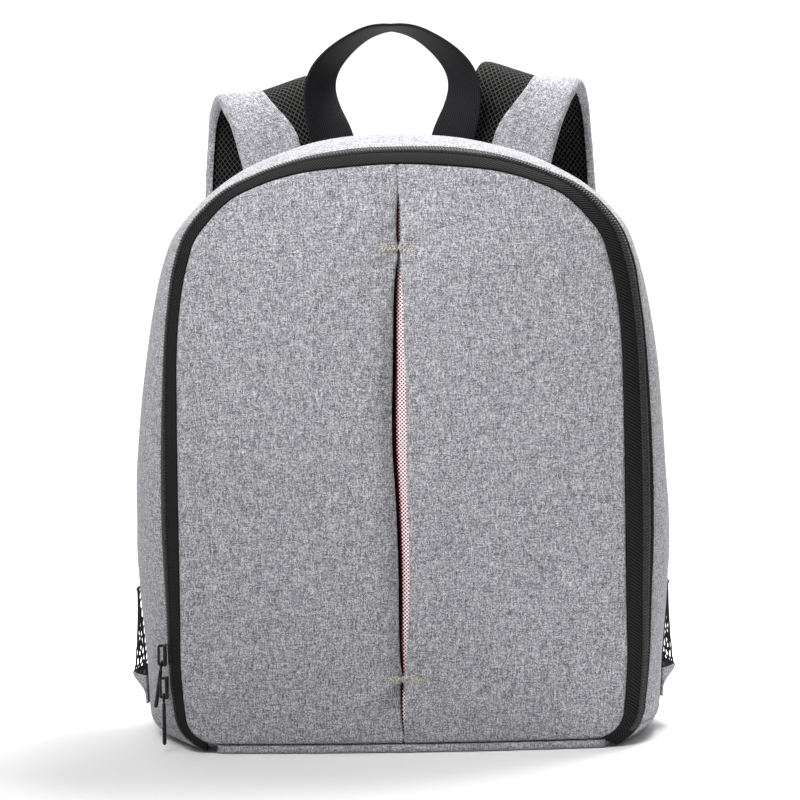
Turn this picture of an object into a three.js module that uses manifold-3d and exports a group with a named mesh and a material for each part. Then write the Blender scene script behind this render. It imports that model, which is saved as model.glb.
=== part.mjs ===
// Camera backpack standing upright, in millimetres.
// +Z is up, +X is to the right as seen from the front, and the front faces -Y.
// The origin is the middle of the underside.

import * as THREE from 'three';
import { mergeVertices } from 'three/addons/utils/BufferGeometryUtils.js';
import Module from 'manifold-3d';

const wasm = await Module();
wasm.setup();

// Clearance between pieces that touch on the real bag
const SEAM_GAP = 0.3;

// Body
const BODY_DEPTH = 140;
const SIDE_FLARE = 16.5;
const TOP_RISE = 12.3;
const BODY_CORNER = 16;
const WALL = 6;
const BASE_THICKNESS = 4.7;
const BACK_THICKNESS = 8;
const BASE_SEAM_GAP = 0.45;

// Front panel of two padded flaps that meet at the slit
const PANEL_WIDTH = 252;
const PANEL_TOP = 329.6;
const PANEL_CORNER = 17;
const PANEL_THICKNESS = 3;
const PANEL_PILLOW = 5;
const PANEL_CROWN = 8;
const PANEL_ROLL = 70;
const SLIT_WIDTH = 7;
const SLIT_DIP = 3;
const SLIT_DIP_REACH = 11;

// Lining behind the slit
const LINING_THICKNESS = 1.5;
const LINING_DISH = 6;
const LINING_INSET = 1;

// Zip that runs round the front panel
const ZIP_FLARE = 14;
const ZIP_RISE = 10.4;
const ZIP_DEPTH = 14;
const RIM_CORNER = 25;
const RIM_CROWN = 6;
const RIM_SHIFT = 3.4;
const TAPE_THICKNESS = 2;
const TAPE_BULGE = 1.8;
const TAPE_EDGE_SEAT = 1;
const COIL_PLACE = 0.66;
const COIL_WIDTH = 5;
const COIL_HEIGHT = 1.3;
const COIL_SEAT = 0.39;
const COIL_START = 0.3;

// Sliders and pulls
const SLIDER_WIDTH = 7;
const SLIDER_HEIGHT = 12;
const SLIDER_PLATE = 1.4;
const SLIDER_SEAT = 0.4;
const BRIDGE_REACH = 3.5;
const BRIDGE_FOOT = 0.5;
const BRIDGE_WIRE = 1.2;
const BRIDGE_CHAMFER = 1;
const BRIDGE_WIDTH = 2;
const UPPER_SLIDER_UP = 55;
const LOWER_SLIDER_UP = 36.5;
const PULL_LENGTH = 29;
const PULL_WIDTH = 2.6;
const PULL_WAIST = 2.2;
const PULL_THICKNESS = 1.5;
const PULL_BAR = 1.1;
const PULL_HEAD_CUT = 0.6;
const PULL_NECK_CUT = 1;
const PULL_TIP_CUT = 0.6;
const PULL_TIP_TAPER = 1;
const EYE_LENGTH = 3.6;
const EYE_SIDE_GAP = 0.4;
const EYE_LIMB = 1.1;
const UPPER_PULL_LEAN = 10;
const UPPER_PULL_ASIDE = 17;
const UPPER_PULL_SLIP = 0.5;

// Top handle of flat webbing
const HANDLE_WEBBING = 26;
const HANDLE_THICKNESS = 2;
const HANDLE_SPREAD = 44;
const HANDLE_RISE = 67.2;
const HANDLE_ROOT = 34;
const HANDLE_SHIFT = -2;
const HANDLE_FOOT_LIFT = 1.9;

// Shoulder straps
const STRAP_WIDTH = 60;
const STRAP_THICKNESS = 6.5;
const STRAP_ROUND = 3;
const STRAP_RISE = 36;
const STRAP_DROP = 218;
const STRAP_ROOT = 30;
const STRAP_SPREAD = 94;
const STRAP_REACH = 60;
const STRAP_TILT = 17;
const PAD_EDGE_SHARE = 0.4;
const COVER_WIDTH = 36;
const COVER_THICKNESS = 1.2;
const COVER_WRAP = 5;
const COVER_EDGE_SHARE = 0.5;
const COVER_CORNER_SHARE = 0.3;
const LEFT_STRAP_LIFT = -3.5;
const RIGHT_STRAP_LIFT = 3.5;
const STRAP_LIFT_OUT = 0.6;

// Strap adjusters and their webbing
const WEBBING_WIDTH = 20;
const WEBBING_THICKNESS = 1.6;
const WEBBING_ANCHOR_UP = 28;
const WEBBING_ANCHOR_INSET = 26;
const WEBBING_TURN_BACK = 12;
const WEBBING_HANG_SHARE = 0.35;
const BUCKLE_WIDTH = 30;
const BUCKLE_BAR = 4;
const BUCKLE_SLOT = 6;
const BUCKLE_THICKNESS = 3;
const BUCKLE_SLOT_GAP = 1;

// Side pockets of coarse net over a cloth foot
const POCKET_FOOT_UP = 19;
const NET_FOOT_UP = 36;
const NET_TOP_UP = 86;
const POCKET_BULGE = 10.8;
const POCKET_RIM_SHARE = 0.68;
const POCKET_SEAM_STANDOFF = 0.6;
const POCKET_ARCH = 1.25;
const NET_THICKNESS = 0.9;
const POCKET_FOOT_THICKNESS = 1.5;
const NET_HOLE_ROWS = 5;
const NET_HOLE_COLUMNS = 8;
const NET_HOLE_SHARE = 0.432;
const NET_FIRST_ROW = 0.8;
const NET_END_MARGIN = 0.6;

// Side outline from the bottom corner to the top, as shares of half the width and of the height.
// The columns hold at the front panel, at the rim where the side starts and at the widest section.
const OUTLINE_ROWS = [
  { panelOut: 1.000, panelUp: 0.137, rimOut: 0.973, rimUp: 0.135, sideOut: 0.969, sideUp: 0.131 },
  { panelOut: 1.000, panelUp: 0.249, rimOut: 0.986, rimUp: 0.247, sideOut: 0.990, sideUp: 0.238 },
  { panelOut: 1.000, panelUp: 0.364, rimOut: 0.998, rimUp: 0.353, sideOut: 1.000, sideUp: 0.335 },
  { panelOut: 1.000, panelUp: 0.485, rimOut: 0.997, rimUp: 0.476, sideOut: 0.992, sideUp: 0.454 },
  { panelOut: 0.998, panelUp: 0.592, rimOut: 0.988, rimUp: 0.582, sideOut: 0.970, sideUp: 0.556 },
  { panelOut: 0.994, panelUp: 0.683, rimOut: 0.974, rimUp: 0.676, sideOut: 0.945, sideUp: 0.642 },
  { panelOut: 0.978, panelUp: 0.758, rimOut: 0.954, rimUp: 0.747, sideOut: 0.918, sideUp: 0.710 },
  { panelOut: 0.944, panelUp: 0.828, rimOut: 0.926, rimUp: 0.815, sideOut: 0.877, sideUp: 0.785 },
  { panelOut: 0.901, panelUp: 0.877, rimOut: 0.876, rimUp: 0.866, sideOut: 0.834, sideUp: 0.833 },
  { panelOut: 0.833, panelUp: 0.910, rimOut: 0.806, rimUp: 0.902, sideOut: 0.767, sideUp: 0.870 },
  { panelOut: 0.738, panelUp: 0.944, rimOut: 0.711, rimUp: 0.933, sideOut: 0.685, sideUp: 0.908 },
  { panelOut: 0.619, panelUp: 0.966, rimOut: 0.600, rimUp: 0.955, sideOut: 0.583, sideUp: 0.942 },
  { panelOut: 0.452, panelUp: 0.985, rimOut: 0.443, rimUp: 0.979, sideOut: 0.431, sideUp: 0.972 },
  { panelOut: 0.238, panelUp: 0.995, rimOut: 0.236, rimUp: 0.996, sideOut: 0.241, sideUp: 0.994 },
  { panelOut: 0.000, panelUp: 1.000, rimOut: 0.000, rimUp: 1.000, sideOut: 0.000, sideUp: 1.000 },
];
const PANEL_FOOT_OUT = 0.984;
const RIM_FOOT_OUT = 0.957;
const SIDE_FOOT_OUT = 0.957;
const CORNER_ANGLES = [0, 15, 30, 45, 60, 75, 90];
const SEAM_CORNER = 4;
const PATCH_CORNER = 3;
const SHOULDER_ROW = 10;

// Sections of the body from the zip to the back, as shares of the side's depth, flare and rise
const BODY_RINGS = [
  { back: 0.00, flare: 0.00, rise: 0.00 },
  { back: 0.24, flare: 0.68, rise: 0.55 },
  { back: 0.48, flare: 1.00, rise: 0.88 },
  { back: 0.76, flare: 0.70, rise: 1.00 },
  { back: 1.00, flare: 0.42, rise: 0.82 },
];
const widestRing = BODY_RINGS.findIndex((row) => row.flare === 1);

// Width of the slit up the front, as shares of the panel's height and of the slit's width
const SLIT_ROWS = [
  { up: 0.00, gap: 0.05 },
  { up: 0.03, gap: 0.22 },
  { up: 0.09, gap: 0.22 },
  { up: 0.109, gap: 0.09 },
  { up: 0.13, gap: 0.25 },
  { up: 0.29, gap: 0.45 },
  { up: 0.48, gap: 0.85 },
  { up: 0.60, gap: 1.00 },
  { up: 0.74, gap: 0.95 },
  { up: 0.82, gap: 0.50 },
  { up: 0.852, gap: 0.09 },
  { up: 0.87, gap: 0.25 },
  { up: 0.94, gap: 0.20 },
  { up: 0.97, gap: 0.05 },
  { up: 1.00, gap: 0.05 },
];

// Half of the handle from its root to the middle, as shares of its spread, and of its rise above
// the body's top or of its root below it
const HANDLE_ROWS = [
  { out: 0.78, up: -1.00, turn: 0 },
  { out: 0.79, up: -0.24, turn: 0 },
  { out: 0.84, up: 0.00, turn: 6 },
  { out: 0.96, up: 0.24, turn: 30 },
  { out: 1.00, up: 0.42, turn: 42 },
  { out: 0.96, up: 0.57, turn: 52 },
  { out: 0.83, up: 0.71, turn: 63 },
  { out: 0.58, up: 0.86, turn: 74 },
  { out: 0.30, up: 0.965, turn: 82 },
  { out: 0.00, up: 1.00, turn: 90 },
];

// Middle line of a shoulder strap from its root to its lower end.
// over counts up from the top of the back to the fold, and under counts down from there to the end.
const STRAP_ROWS = [
  { out: 0.64, reach: 0.00, over: 0.00, under: 0.00, root: 1.0, tilt: 0.0, width: 1.00 },
  { out: 0.65, reach: 0.00, over: 0.00, under: 0.00, root: 0.2, tilt: 0.2, width: 1.00 },
  { out: 0.69, reach: 0.02, over: 0.12, under: 0.00, root: 0.0, tilt: 0.5, width: 1.00 },
  { out: 0.76, reach: 0.12, over: 0.60, under: 0.00, root: 0.0, tilt: 0.9, width: 1.00 },
  { out: 0.83, reach: 0.34, over: 0.94, under: 0.00, root: 0.0, tilt: 1.0, width: 1.00 },
  { out: 0.89, reach: 0.60, over: 1.00, under: 0.00, root: 0.0, tilt: 1.0, width: 1.00 },
  { out: 0.94, reach: 0.84, over: 1.00, under: 0.06, root: 0.0, tilt: 0.9, width: 1.00 },
  { out: 0.97, reach: 0.97, over: 1.00, under: 0.17, root: 0.0, tilt: 0.5, width: 1.00 },
  { out: 0.99, reach: 1.00, over: 1.00, under: 0.32, root: 0.0, tilt: 0.2, width: 1.00 },
  { out: 1.00, reach: 0.97, over: 1.00, under: 0.53, root: 0.0, tilt: 0.0, width: 0.98 },
  { out: 1.00, reach: 0.88, over: 1.00, under: 0.73, root: 0.0, tilt: 0.0, width: 0.92 },
  { out: 0.99, reach: 0.76, over: 1.00, under: 0.90, root: 0.0, tilt: 0.0, width: 0.80 },
  { out: 0.98, reach: 0.68, over: 1.00, under: 1.00, root: 0.0, tilt: 0.0, width: 0.62 },
];
const STRAP_STEPS = 28;
const HANDLE_STEPS = 32;

// Levels that follow from the sizes above
const BACK_FACE = BODY_DEPTH / 2;
const PANEL_EDGE_Y = -BODY_DEPTH / 2 + PANEL_PILLOW;
const RIM_Y = PANEL_EDGE_Y + ZIP_DEPTH;
const SIDE_END_Y = BACK_FACE - BACK_THICKNESS - SEAM_GAP;
const RIM_HALF_WIDTH = PANEL_WIDTH / 2 + ZIP_FLARE;
const RIM_TOP = PANEL_TOP + ZIP_RISE;
const BODY_TOP = RIM_TOP + TOP_RISE;
const PANEL_FOOT = BASE_THICKNESS + SEAM_GAP;

const FABRIC = { color: 0x9c9ba0, roughness: 0.95, metalness: 0 };
const BLACK_TAPE = { color: 0x1d1d1e, roughness: 0.85, metalness: 0 };
const BLACK_MESH = { color: 0x2a2a2b, roughness: 0.9, metalness: 0 };
const PINK_CLOTH = { color: 0xd9b4ba, roughness: 0.85, metalness: 0 };
const BLACK_METAL = { color: 0x161617, roughness: 0.45, metalness: 0.6 };
const BLACK_PLASTIC = { color: 0x18181a, roughness: 0.5, metalness: 0 };
const WEBBING = { color: 0x1b1b1d, roughness: 0.8, metalness: 0 };

const group = new THREE.Group();

// Small helpers

function mixed(a, b, share) {
  return a + (b - a) * share;
}

function smooth(share) {
  const s = Math.min(Math.max(share, 0), 1);
  return s * s * (3 - 2 * s);
}

function radians(degrees) {
  return degrees * Math.PI / 180;
}

// Value of a named column at a place on another column of a table, straight between rows
function fromTable(rows, key, place, column) {
  if (place <= rows[0][key]) return rows[0][column];
  for (let i = 1; i < rows.length; i += 1) {
    if (place <= rows[i][key]) {
      const share = (place - rows[i - 1][key]) / (rows[i][key] - rows[i - 1][key]);
      return mixed(rows[i - 1][column], rows[i][column], share);
    }
  }
  return rows[rows.length - 1][column];
}

function addPiece(name, geometry, finish) {
  const mesh = new THREE.Mesh(geometry, new THREE.MeshStandardMaterial(finish));
  mesh.name = name;
  group.add(mesh);
  return mesh;
}

// Closed solids from grids of points

function solidFrom(points, triangles) {
  let volume = 0;
  for (const [a, b, c] of triangles) {
    volume += points[a].dot(new THREE.Vector3().crossVectors(points[b], points[c])) / 6;
  }
  const ordered = volume < 0 ? triangles.map(([a, b, c]) => [a, c, b]) : triangles;
  const geometry = new THREE.BufferGeometry();
  const places = points.flatMap((p) => [p.x, p.y, p.z]);
  geometry.setAttribute('position', new THREE.Float32BufferAttribute(places, 3));
  geometry.setIndex(ordered.flat());
  return geometry;
}

// A sheet with an outer and an inner face of the same rows and columns, closed round its four edges
function sheetSolid(outer, inner) {
  const rows = outer.length;
  const columns = outer[0].length;
  const points = [...outer.flat(), ...inner.flat()];
  const outerAt = (i, j) => i * columns + j;
  const innerAt = (i, j) => rows * columns + outerAt(i, j);
  const triangles = [];
  const quad = (a, b, c, d) => triangles.push([a, b, c], [a, c, d]);
  for (let i = 0; i < rows - 1; i += 1) {
    for (let j = 0; j < columns - 1; j += 1) {
      quad(outerAt(i, j), outerAt(i, j + 1), outerAt(i + 1, j + 1), outerAt(i + 1, j));
      quad(innerAt(i, j), innerAt(i + 1, j), innerAt(i + 1, j + 1), innerAt(i, j + 1));
    }
  }
  for (let j = 0; j < columns - 1; j += 1) {
    quad(outerAt(0, j + 1), outerAt(0, j), innerAt(0, j), innerAt(0, j + 1));
    quad(outerAt(rows - 1, j), outerAt(rows - 1, j + 1), innerAt(rows - 1, j + 1), innerAt(rows - 1, j));
  }
  const last = columns - 1;
  for (let i = 0; i < rows - 1; i += 1) {
    quad(outerAt(i, 0), outerAt(i + 1, 0), innerAt(i + 1, 0), innerAt(i, 0));
    quad(outerAt(i + 1, last), outerAt(i, last), innerAt(i, last), innerAt(i + 1, last));
  }
  return solidFrom(points, triangles);
}

// A bar whose convex section is carried along a path and capped at both ends
function barSolid(rings) {
  const size = rings[0].length;
  const points = rings.flat();
  const triangles = [];
  for (let i = 0; i < rings.length - 1; i += 1) {
    for (let j = 0; j < size; j += 1) {
      const next = (j + 1) % size;
      triangles.push([i * size + j, i * size + next, (i + 1) * size + next]);
      triangles.push([i * size + j, (i + 1) * size + next, (i + 1) * size + j]);
    }
  }
  const last = (rings.length - 1) * size;
  for (let j = 1; j < size - 1; j += 1) {
    triangles.push([0, j + 1, j]);
    triangles.push([last, last + j, last + j + 1]);
  }
  return solidFrom(points, triangles);
}

function toSolid(geometry) {
  const bare = geometry.clone();
  bare.deleteAttribute('normal');
  bare.deleteAttribute('uv');
  const merged = mergeVertices(bare);
  return new wasm.Manifold(new wasm.Mesh({
    numProp: 3,
    vertProperties: new Float32Array(merged.attributes.position.array),
    triVerts: new Uint32Array(merged.index.array),
  }));
}

function toGeometry(solid) {
  const mesh = solid.getMesh();
  const geometry = new THREE.BufferGeometry();
  geometry.setAttribute('position', new THREE.BufferAttribute(new Float32Array(mesh.vertProperties), 3));
  geometry.setIndex(new THREE.BufferAttribute(new Uint32Array(mesh.triVerts), 1));
  return geometry;
}

// Outlines of the bag in the XZ plane

// The arch from the left end of the bottom, over the top, to the right end of the bottom.
// Its half runs through the bottom corner and then through the given rows of shares.
function archOutline({ halfWidth, top, foot, corner, footOut, rows, shift = 0 }) {
  const cornerMiddle = halfWidth * footOut - corner;
  const half = CORNER_ANGLES.map((degrees) => new THREE.Vector2(
    cornerMiddle + corner * Math.sin(radians(degrees)),
    foot + corner * (1 - Math.cos(radians(degrees))),
  ));
  for (const row of rows) half.push(new THREE.Vector2(halfWidth * row.out, top * row.up));
  const left = half.map((p) => new THREE.Vector2(shift - p.x, p.y));
  const right = half.slice(0, -1).reverse().map((p) => new THREE.Vector2(shift + p.x, p.y));
  return [...left, ...right];
}

// Least share of a mean normal along its edge's own normal, which limits how far a sharp corner moves
const SHARP_CORNER_LIMIT = 0.5;

// The same arch moved outwards by a distance, each point along the mean normal of its two edges
function movedOut(outline, distance) {
  const count = outline.length;
  return outline.map((point, i) => {
    const before = outline[(i + count - 1) % count];
    const after = outline[(i + 1) % count];
    const first = new THREE.Vector2().subVectors(point, before).normalize();
    const second = new THREE.Vector2().subVectors(after, point).normalize();
    const normal = new THREE.Vector2(-(first.y + second.y), first.x + second.x).normalize();
    const stretch = 1 / Math.max(normal.x * -first.y + normal.y * first.x, SHARP_CORNER_LIMIT);
    return point.clone().addScaledVector(normal, distance * stretch);
  });
}

// Depth of the panel's edge, which bows back towards the sides
function panelEdgeY(x) {
  return PANEL_EDGE_Y + PANEL_CROWN * (x / (PANEL_WIDTH / 2)) ** 2;
}

const panelOutline = archOutline({
  halfWidth: PANEL_WIDTH / 2,
  top: PANEL_TOP,
  foot: PANEL_FOOT,
  corner: PANEL_CORNER,
  footOut: PANEL_FOOT_OUT,
  rows: OUTLINE_ROWS.map((row) => ({ out: row.panelOut, up: row.panelUp })),
});
const ARCH_COUNT = panelOutline.length;

// How far up its bottom corner a point of the arch lies, from 0 on the flat to 1 on the side
function cornerShare(index) {
  const place = Math.min(index, ARCH_COUNT - 1 - index);
  return Math.min(CORNER_ANGLES[Math.min(place, CORNER_ANGLES.length - 1)] / 90, 1);
}

// One section of the body, moved inwards by a wall where it is the inner face.
// Its form passes from the rim's to the widest section's over the front half of the side.
function bodyRing(row, inset) {
  const halfWidth = RIM_HALF_WIDTH + SIDE_FLARE * row.flare;
  const widest = Math.min(row.back / BODY_RINGS[widestRing].back, 1);
  const outline = archOutline({
    halfWidth,
    top: RIM_TOP + TOP_RISE * row.rise,
    foot: 0,
    corner: mixed(RIM_CORNER, BODY_CORNER, widest),
    footOut: mixed(RIM_FOOT_OUT, SIDE_FOOT_OUT, widest),
    rows: OUTLINE_ROWS.map((step) => ({
      out: mixed(step.rimOut, step.sideOut, widest),
      up: mixed(step.rimUp, step.sideUp, widest),
    })),
    shift: RIM_SHIFT * (1 - widest),
  });
  const flat = mixed(RIM_Y, SIDE_END_Y, row.back);
  const placed = movedOut(outline, -inset);
  return placed.map((point, i) => {
    const crown = RIM_CROWN * (1 - row.back) ** 2 * (outline[i].x / halfWidth) ** 2;
    const seat = panelEdgeY(panelOutline[i].x) + TAPE_THICKNESS + TAPE_EDGE_SEAT;
    const y = row.back === 0 ? mixed(seat, flat + crown, smooth(cornerShare(i))) : flat + crown;
    return new THREE.Vector3(point.x, y, point.y);
  });
}

const outerRings = BODY_RINGS.map((row) => bodyRing(row, 0));
const innerRings = BODY_RINGS.map((row) => bodyRing(row, WALL));

// Padded side, top and side wall of the body in one arch
function buildGusset() {
  const cut = (ring) => ring.slice(SEAM_CORNER, ARCH_COUNT - SEAM_CORNER);
  const forward = (ring, index) => ring.map((p) => (index === 0 ? p.clone().setY(p.y + SEAM_GAP) : p));
  const outer = outerRings.map((ring, k) => forward(cut(ring), k));
  const inner = innerRings.map((ring, k) => forward(cut(ring), k));
  addPiece('gusset', sheetSolid(outer, inner), FABRIC);
}

// Base with its two rounded corners, which stops short of the side by a seam gap
function buildBase() {
  const flatCuts = [0.12, 0.3, 0.5, 0.7, 0.88];
  const bottomOf = (ring, lift) => {
    const left = ring.slice(0, SEAM_CORNER + 1).reverse();
    const right = ring.slice(ARCH_COUNT - SEAM_CORNER - 1).reverse();
    const shorten = (corner, next) => corner.clone().lerp(next, BASE_SEAM_GAP / corner.distanceTo(next));
    left[0] = shorten(left[0], left[1]);
    right[right.length - 1] = shorten(right[right.length - 1], right[right.length - 2]);
    const from = left[left.length - 1];
    const to = right[0];
    const flat = flatCuts.map((share) => from.clone().lerp(to, share));
    return [...left, ...flat, ...right].map((p) => p.clone().setZ(Math.max(p.z, lift)));
  };
  const insets = BODY_RINGS.map((row) => bodyRing(row, BASE_THICKNESS));
  const outer = outerRings.map((ring) => bottomOf(ring, 0));
  const inner = insets.map((ring) => bottomOf(ring, BASE_THICKNESS));
  const frontEdge = (line) => line.map((p, i) => {
    const onFlat = i > SEAM_CORNER && i < line.length - SEAM_CORNER - 1;
    return p.clone().setY(onFlat ? panelEdgeY(p.x) : p.y + SEAM_GAP);
  });
  outer[0] = frontEdge(outer[0]);
  inner[0] = frontEdge(inner[0]);
  addPiece('base_panel', sheetSolid(outer, inner), FABRIC);
}

// Patches that fill the whole outline or half of it

// Point at a share of the length of a line of points
function alongLine(line, share) {
  const lengths = [0];
  for (let i = 1; i < line.length; i += 1) lengths.push(lengths[i - 1] + line[i].distanceTo(line[i - 1]));
  const wanted = share * lengths[lengths.length - 1];
  for (let i = 1; i < line.length; i += 1) {
    if (wanted <= lengths[i]) {
      return line[i - 1].clone().lerp(line[i], (wanted - lengths[i - 1]) / (lengths[i] - lengths[i - 1] || 1));
    }
  }
  return line[line.length - 1].clone();
}

// Grid between four border lines: bottom and top run from left to right, left and right run upwards
function fillBorders({ left, right, bottom, top }, acrossShares, upShares) {
  const at = (line, share) => alongLine(line, share);
  return upShares.map((v) => acrossShares.map((u) => {
    const sides = at(left, v).multiplyScalar(1 - u).addScaledVector(at(right, v), u);
    const ends = at(bottom, u).multiplyScalar(1 - v).addScaledVector(at(top, u), v);
    const corners = left[0].clone().multiplyScalar((1 - u) * (1 - v))
      .addScaledVector(right[0], u * (1 - v))
      .addScaledVector(left[left.length - 1], (1 - u) * v)
      .addScaledVector(right[right.length - 1], u * v);
    return sides.add(ends).sub(corners);
  }));
}

// The four borders of an arch that is filled from side to side
function wholeBorders(outline) {
  const shoulder = CORNER_ANGLES.length - 1 + SHOULDER_ROW;
  const last = outline.length - 1;
  return {
    left: outline.slice(PATCH_CORNER, shoulder + 1),
    right: outline.slice(last - shoulder, last - PATCH_CORNER + 1).reverse(),
    top: outline.slice(shoulder, last - shoulder + 1),
    bottom: [...outline.slice(0, PATCH_CORNER + 1).reverse(), ...outline.slice(last - PATCH_CORNER).reverse()],
  };
}

const ACROSS_SHARES = [0, 0.03, 0.1, 0.22, 0.36, 0.5, 0.64, 0.78, 0.9, 0.97, 1];
const UP_SHARES = [0, 0.03, 0.09, 0.18, 0.3, 0.43, 0.56, 0.69, 0.8, 0.9, 0.97, 1];
const FLAP_ACROSS = [0, 0.03, 0.1, 0.22, 0.4, 0.6, 0.78, 0.89, 0.96, 1];
const FLAP_UP = [0, 0.02, 0.06, 0.12, 0.2, 0.3, 0.42, 0.54, 0.66, 0.77, 0.86, 0.93, 0.98, 1];

// Rise of the padding with the distance from its nearest edge
function padding(edgeDistance, reach) {
  const near = Math.min(edgeDistance / reach, 1);
  return 1 - (1 - near) ** 2;
}

// Half of the slit's width at a height
function slitHalfGap(z) {
  const up = (z - PANEL_FOOT) / (PANEL_TOP - PANEL_FOOT);
  return Math.max(SLIT_WIDTH * fromTable(SLIT_ROWS, 'up', up, 'gap'), SEAM_GAP) / 2;
}

// One padded flap of the front panel, from the zip to the slit
function buildFlap(name, side) {
  const shoulder = CORNER_ANGLES.length - 1 + SHOULDER_ROW;
  const middle = (ARCH_COUNT - 1) / 2;
  const leftHalf = panelOutline.slice(0, middle + 1);
  const slit = FLAP_UP.map((share) => {
    const z = mixed(PANEL_FOOT, PANEL_TOP, share);
    return new THREE.Vector2(-slitHalfGap(z), z);
  });
  const borders = {
    left: leftHalf.slice(PATCH_CORNER, shoulder + 1),
    right: slit,
    top: [...leftHalf.slice(shoulder, middle), slit[slit.length - 1]],
    bottom: [...leftHalf.slice(0, PATCH_CORNER + 1).reverse(), slit[0]],
  };
  const flat = fillBorders(borders, FLAP_ACROSS, FLAP_UP);
  const depthAt = (point, u, v) => {
    const acrossEdge = padding(u * PANEL_WIDTH / 2, PANEL_ROLL);
    const upEdge = padding(Math.min(v, 1 - v) * PANEL_TOP, PANEL_ROLL);
    const dip = SLIT_DIP * Math.exp(-(((1 - u) * PANEL_WIDTH / 2) / SLIT_DIP_REACH)) * upEdge;
    return panelEdgeY(point.x) - PANEL_PILLOW * acrossEdge * upEdge + dip;
  };
  const faceAt = (thickness) => flat.map((row, i) => row.map((point, j) => new THREE.Vector3(
    -side * point.x,
    depthAt(point, FLAP_ACROSS[j], FLAP_UP[i]) + thickness,
    point.y,
  )));
  addPiece(name, sheetSolid(faceAt(0), faceAt(PANEL_THICKNESS)), FABRIC);
}

// Lining behind the flaps, dished away from them to leave the pocket open
function buildLining() {
  const borders = wholeBorders(movedOut(panelOutline, -LINING_INSET));
  const flat = fillBorders(borders, ACROSS_SHARES, UP_SHARES);
  const faceAt = (thickness) => flat.map((row, i) => row.map((point, j) => {
    const u = ACROSS_SHARES[j];
    const v = UP_SHARES[i];
    const dish = padding(Math.min(u, 1 - u) * PANEL_WIDTH, PANEL_ROLL / 2)
      * padding(Math.min(v, 1 - v) * PANEL_TOP, PANEL_ROLL / 2);
    const y = panelEdgeY(point.x) + PANEL_THICKNESS + SEAM_GAP + LINING_DISH * dish + thickness;
    return new THREE.Vector3(point.x, y, point.y);
  }));
  addPiece('pocket_lining', sheetSolid(faceAt(0), faceAt(LINING_THICKNESS)), PINK_CLOTH);
}

// Padded back panel behind the body's last section
function buildBack() {
  const lastRow = BODY_RINGS[BODY_RINGS.length - 1];
  const outline = bodyRing(lastRow, 0).map((p) => new THREE.Vector2(p.x, p.z));
  const faceAt = (inset, y) => fillBorders(wholeBorders(movedOut(outline, -inset)), ACROSS_SHARES, UP_SHARES)
    .map((row) => row.map((p) => new THREE.Vector3(p.x, y, p.y)));
  const edgeRound = BACK_THICKNESS / 2;
  const rear = toSolid(sheetSolid(faceAt(0, SIDE_END_Y + SEAM_GAP), faceAt(edgeRound, BACK_FACE)));
  addPiece('back_panel', toGeometry(rear), BLACK_MESH);
}

// Zip tape and coil

const tapeInner = movedOut(panelOutline, SEAM_GAP);

// Point on the tape at a place along the arch and a share of its width, with its outward direction
function tapePoint(index, share) {
  const from = new THREE.Vector3(tapeInner[index].x, panelEdgeY(panelOutline[index].x), tapeInner[index].y);
  const to = outerRings[0][index];
  const across = new THREE.Vector3().subVectors(to, from);
  const before = tapeInner[Math.max(index - 1, 0)];
  const after = tapeInner[Math.min(index + 1, ARCH_COUNT - 1)];
  const along = new THREE.Vector3(after.x - before.x, 0, after.y - before.y).normalize();
  const outward = new THREE.Vector3().crossVectors(along, across).normalize();
  const bulge = TAPE_BULGE * Math.sin(Math.PI * share) * smooth(cornerShare(index));
  const point = from.clone().addScaledVector(across, share).addScaledVector(outward, bulge);
  const slope = TAPE_BULGE * Math.PI * Math.cos(Math.PI * share) * smooth(cornerShare(index));
  const tangent = across.clone().addScaledVector(outward, slope).normalize();
  const normal = new THREE.Vector3().crossVectors(along, tangent).normalize();
  return { point, normal, tangent };
}

const FIRST_ZIP = 1;

function zipIndices() {
  const indices = [];
  for (let i = FIRST_ZIP; i < ARCH_COUNT - FIRST_ZIP; i += 1) indices.push(i);
  return indices;
}

function buildTape() {
  const shares = [0, 0.25, 0.5, 0.75, 1];
  const outer = zipIndices().map((i) => shares.map((s) => tapePoint(i, s).point));
  const insetRing = bodyRing(BODY_RINGS[0], TAPE_THICKNESS);
  const inner = zipIndices().map((i) => shares.map((s) => {
    const { point } = tapePoint(i, s);
    const inward = new THREE.Vector3().subVectors(insetRing[i], outerRings[0][i]).normalize();
    const direction = new THREE.Vector3(0, 1 - s, 0).addScaledVector(inward, s).normalize();
    return point.clone().addScaledVector(direction, TAPE_THICKNESS);
  }));
  addPiece('zip_tape', sheetSolid(outer, inner), BLACK_TAPE);
}

function buildCoil() {
  const profile = [
    { across: -0.5, height: 0.25 },
    { across: -0.22, height: 1 },
    { across: 0.22, height: 1 },
    { across: 0.5, height: 0.25 },
  ];
  const reachAt = (index) => COIL_WIDTH * Math.max(smooth(cornerShare(index)), COIL_START);
  const rowAt = (index, lift) => {
    const { point, normal, tangent } = tapePoint(index, COIL_PLACE);
    return profile.map((step) => point.clone()
      .addScaledVector(tangent, step.across * reachAt(index))
      .addScaledVector(normal, COIL_SEAT + lift * COIL_HEIGHT * step.height));
  };
  const indices = zipIndices().filter((i) => cornerShare(i) > COIL_START);
  const outer = indices.map((i) => rowAt(i, 1));
  const inner = indices.map((i) => rowAt(i, 0));
  addPiece('zip_coil', sheetSolid(outer, inner), BLACK_TAPE);
}

// Sliders and pulls, which face out to the left

// Point on the left side of the coil at a height
function coilAt(up) {
  let below = null;
  for (let i = FIRST_ZIP; i < ARCH_COUNT / 2; i += 1) {
    const { point, normal } = tapePoint(i, COIL_PLACE);
    const crest = point.clone().addScaledVector(normal, COIL_SEAT + COIL_HEIGHT);
    if (below && crest.z >= up) return below.clone().lerp(crest, (up - below.z) / (crest.z - below.z));
    below = crest;
  }
  return below;
}

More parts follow.
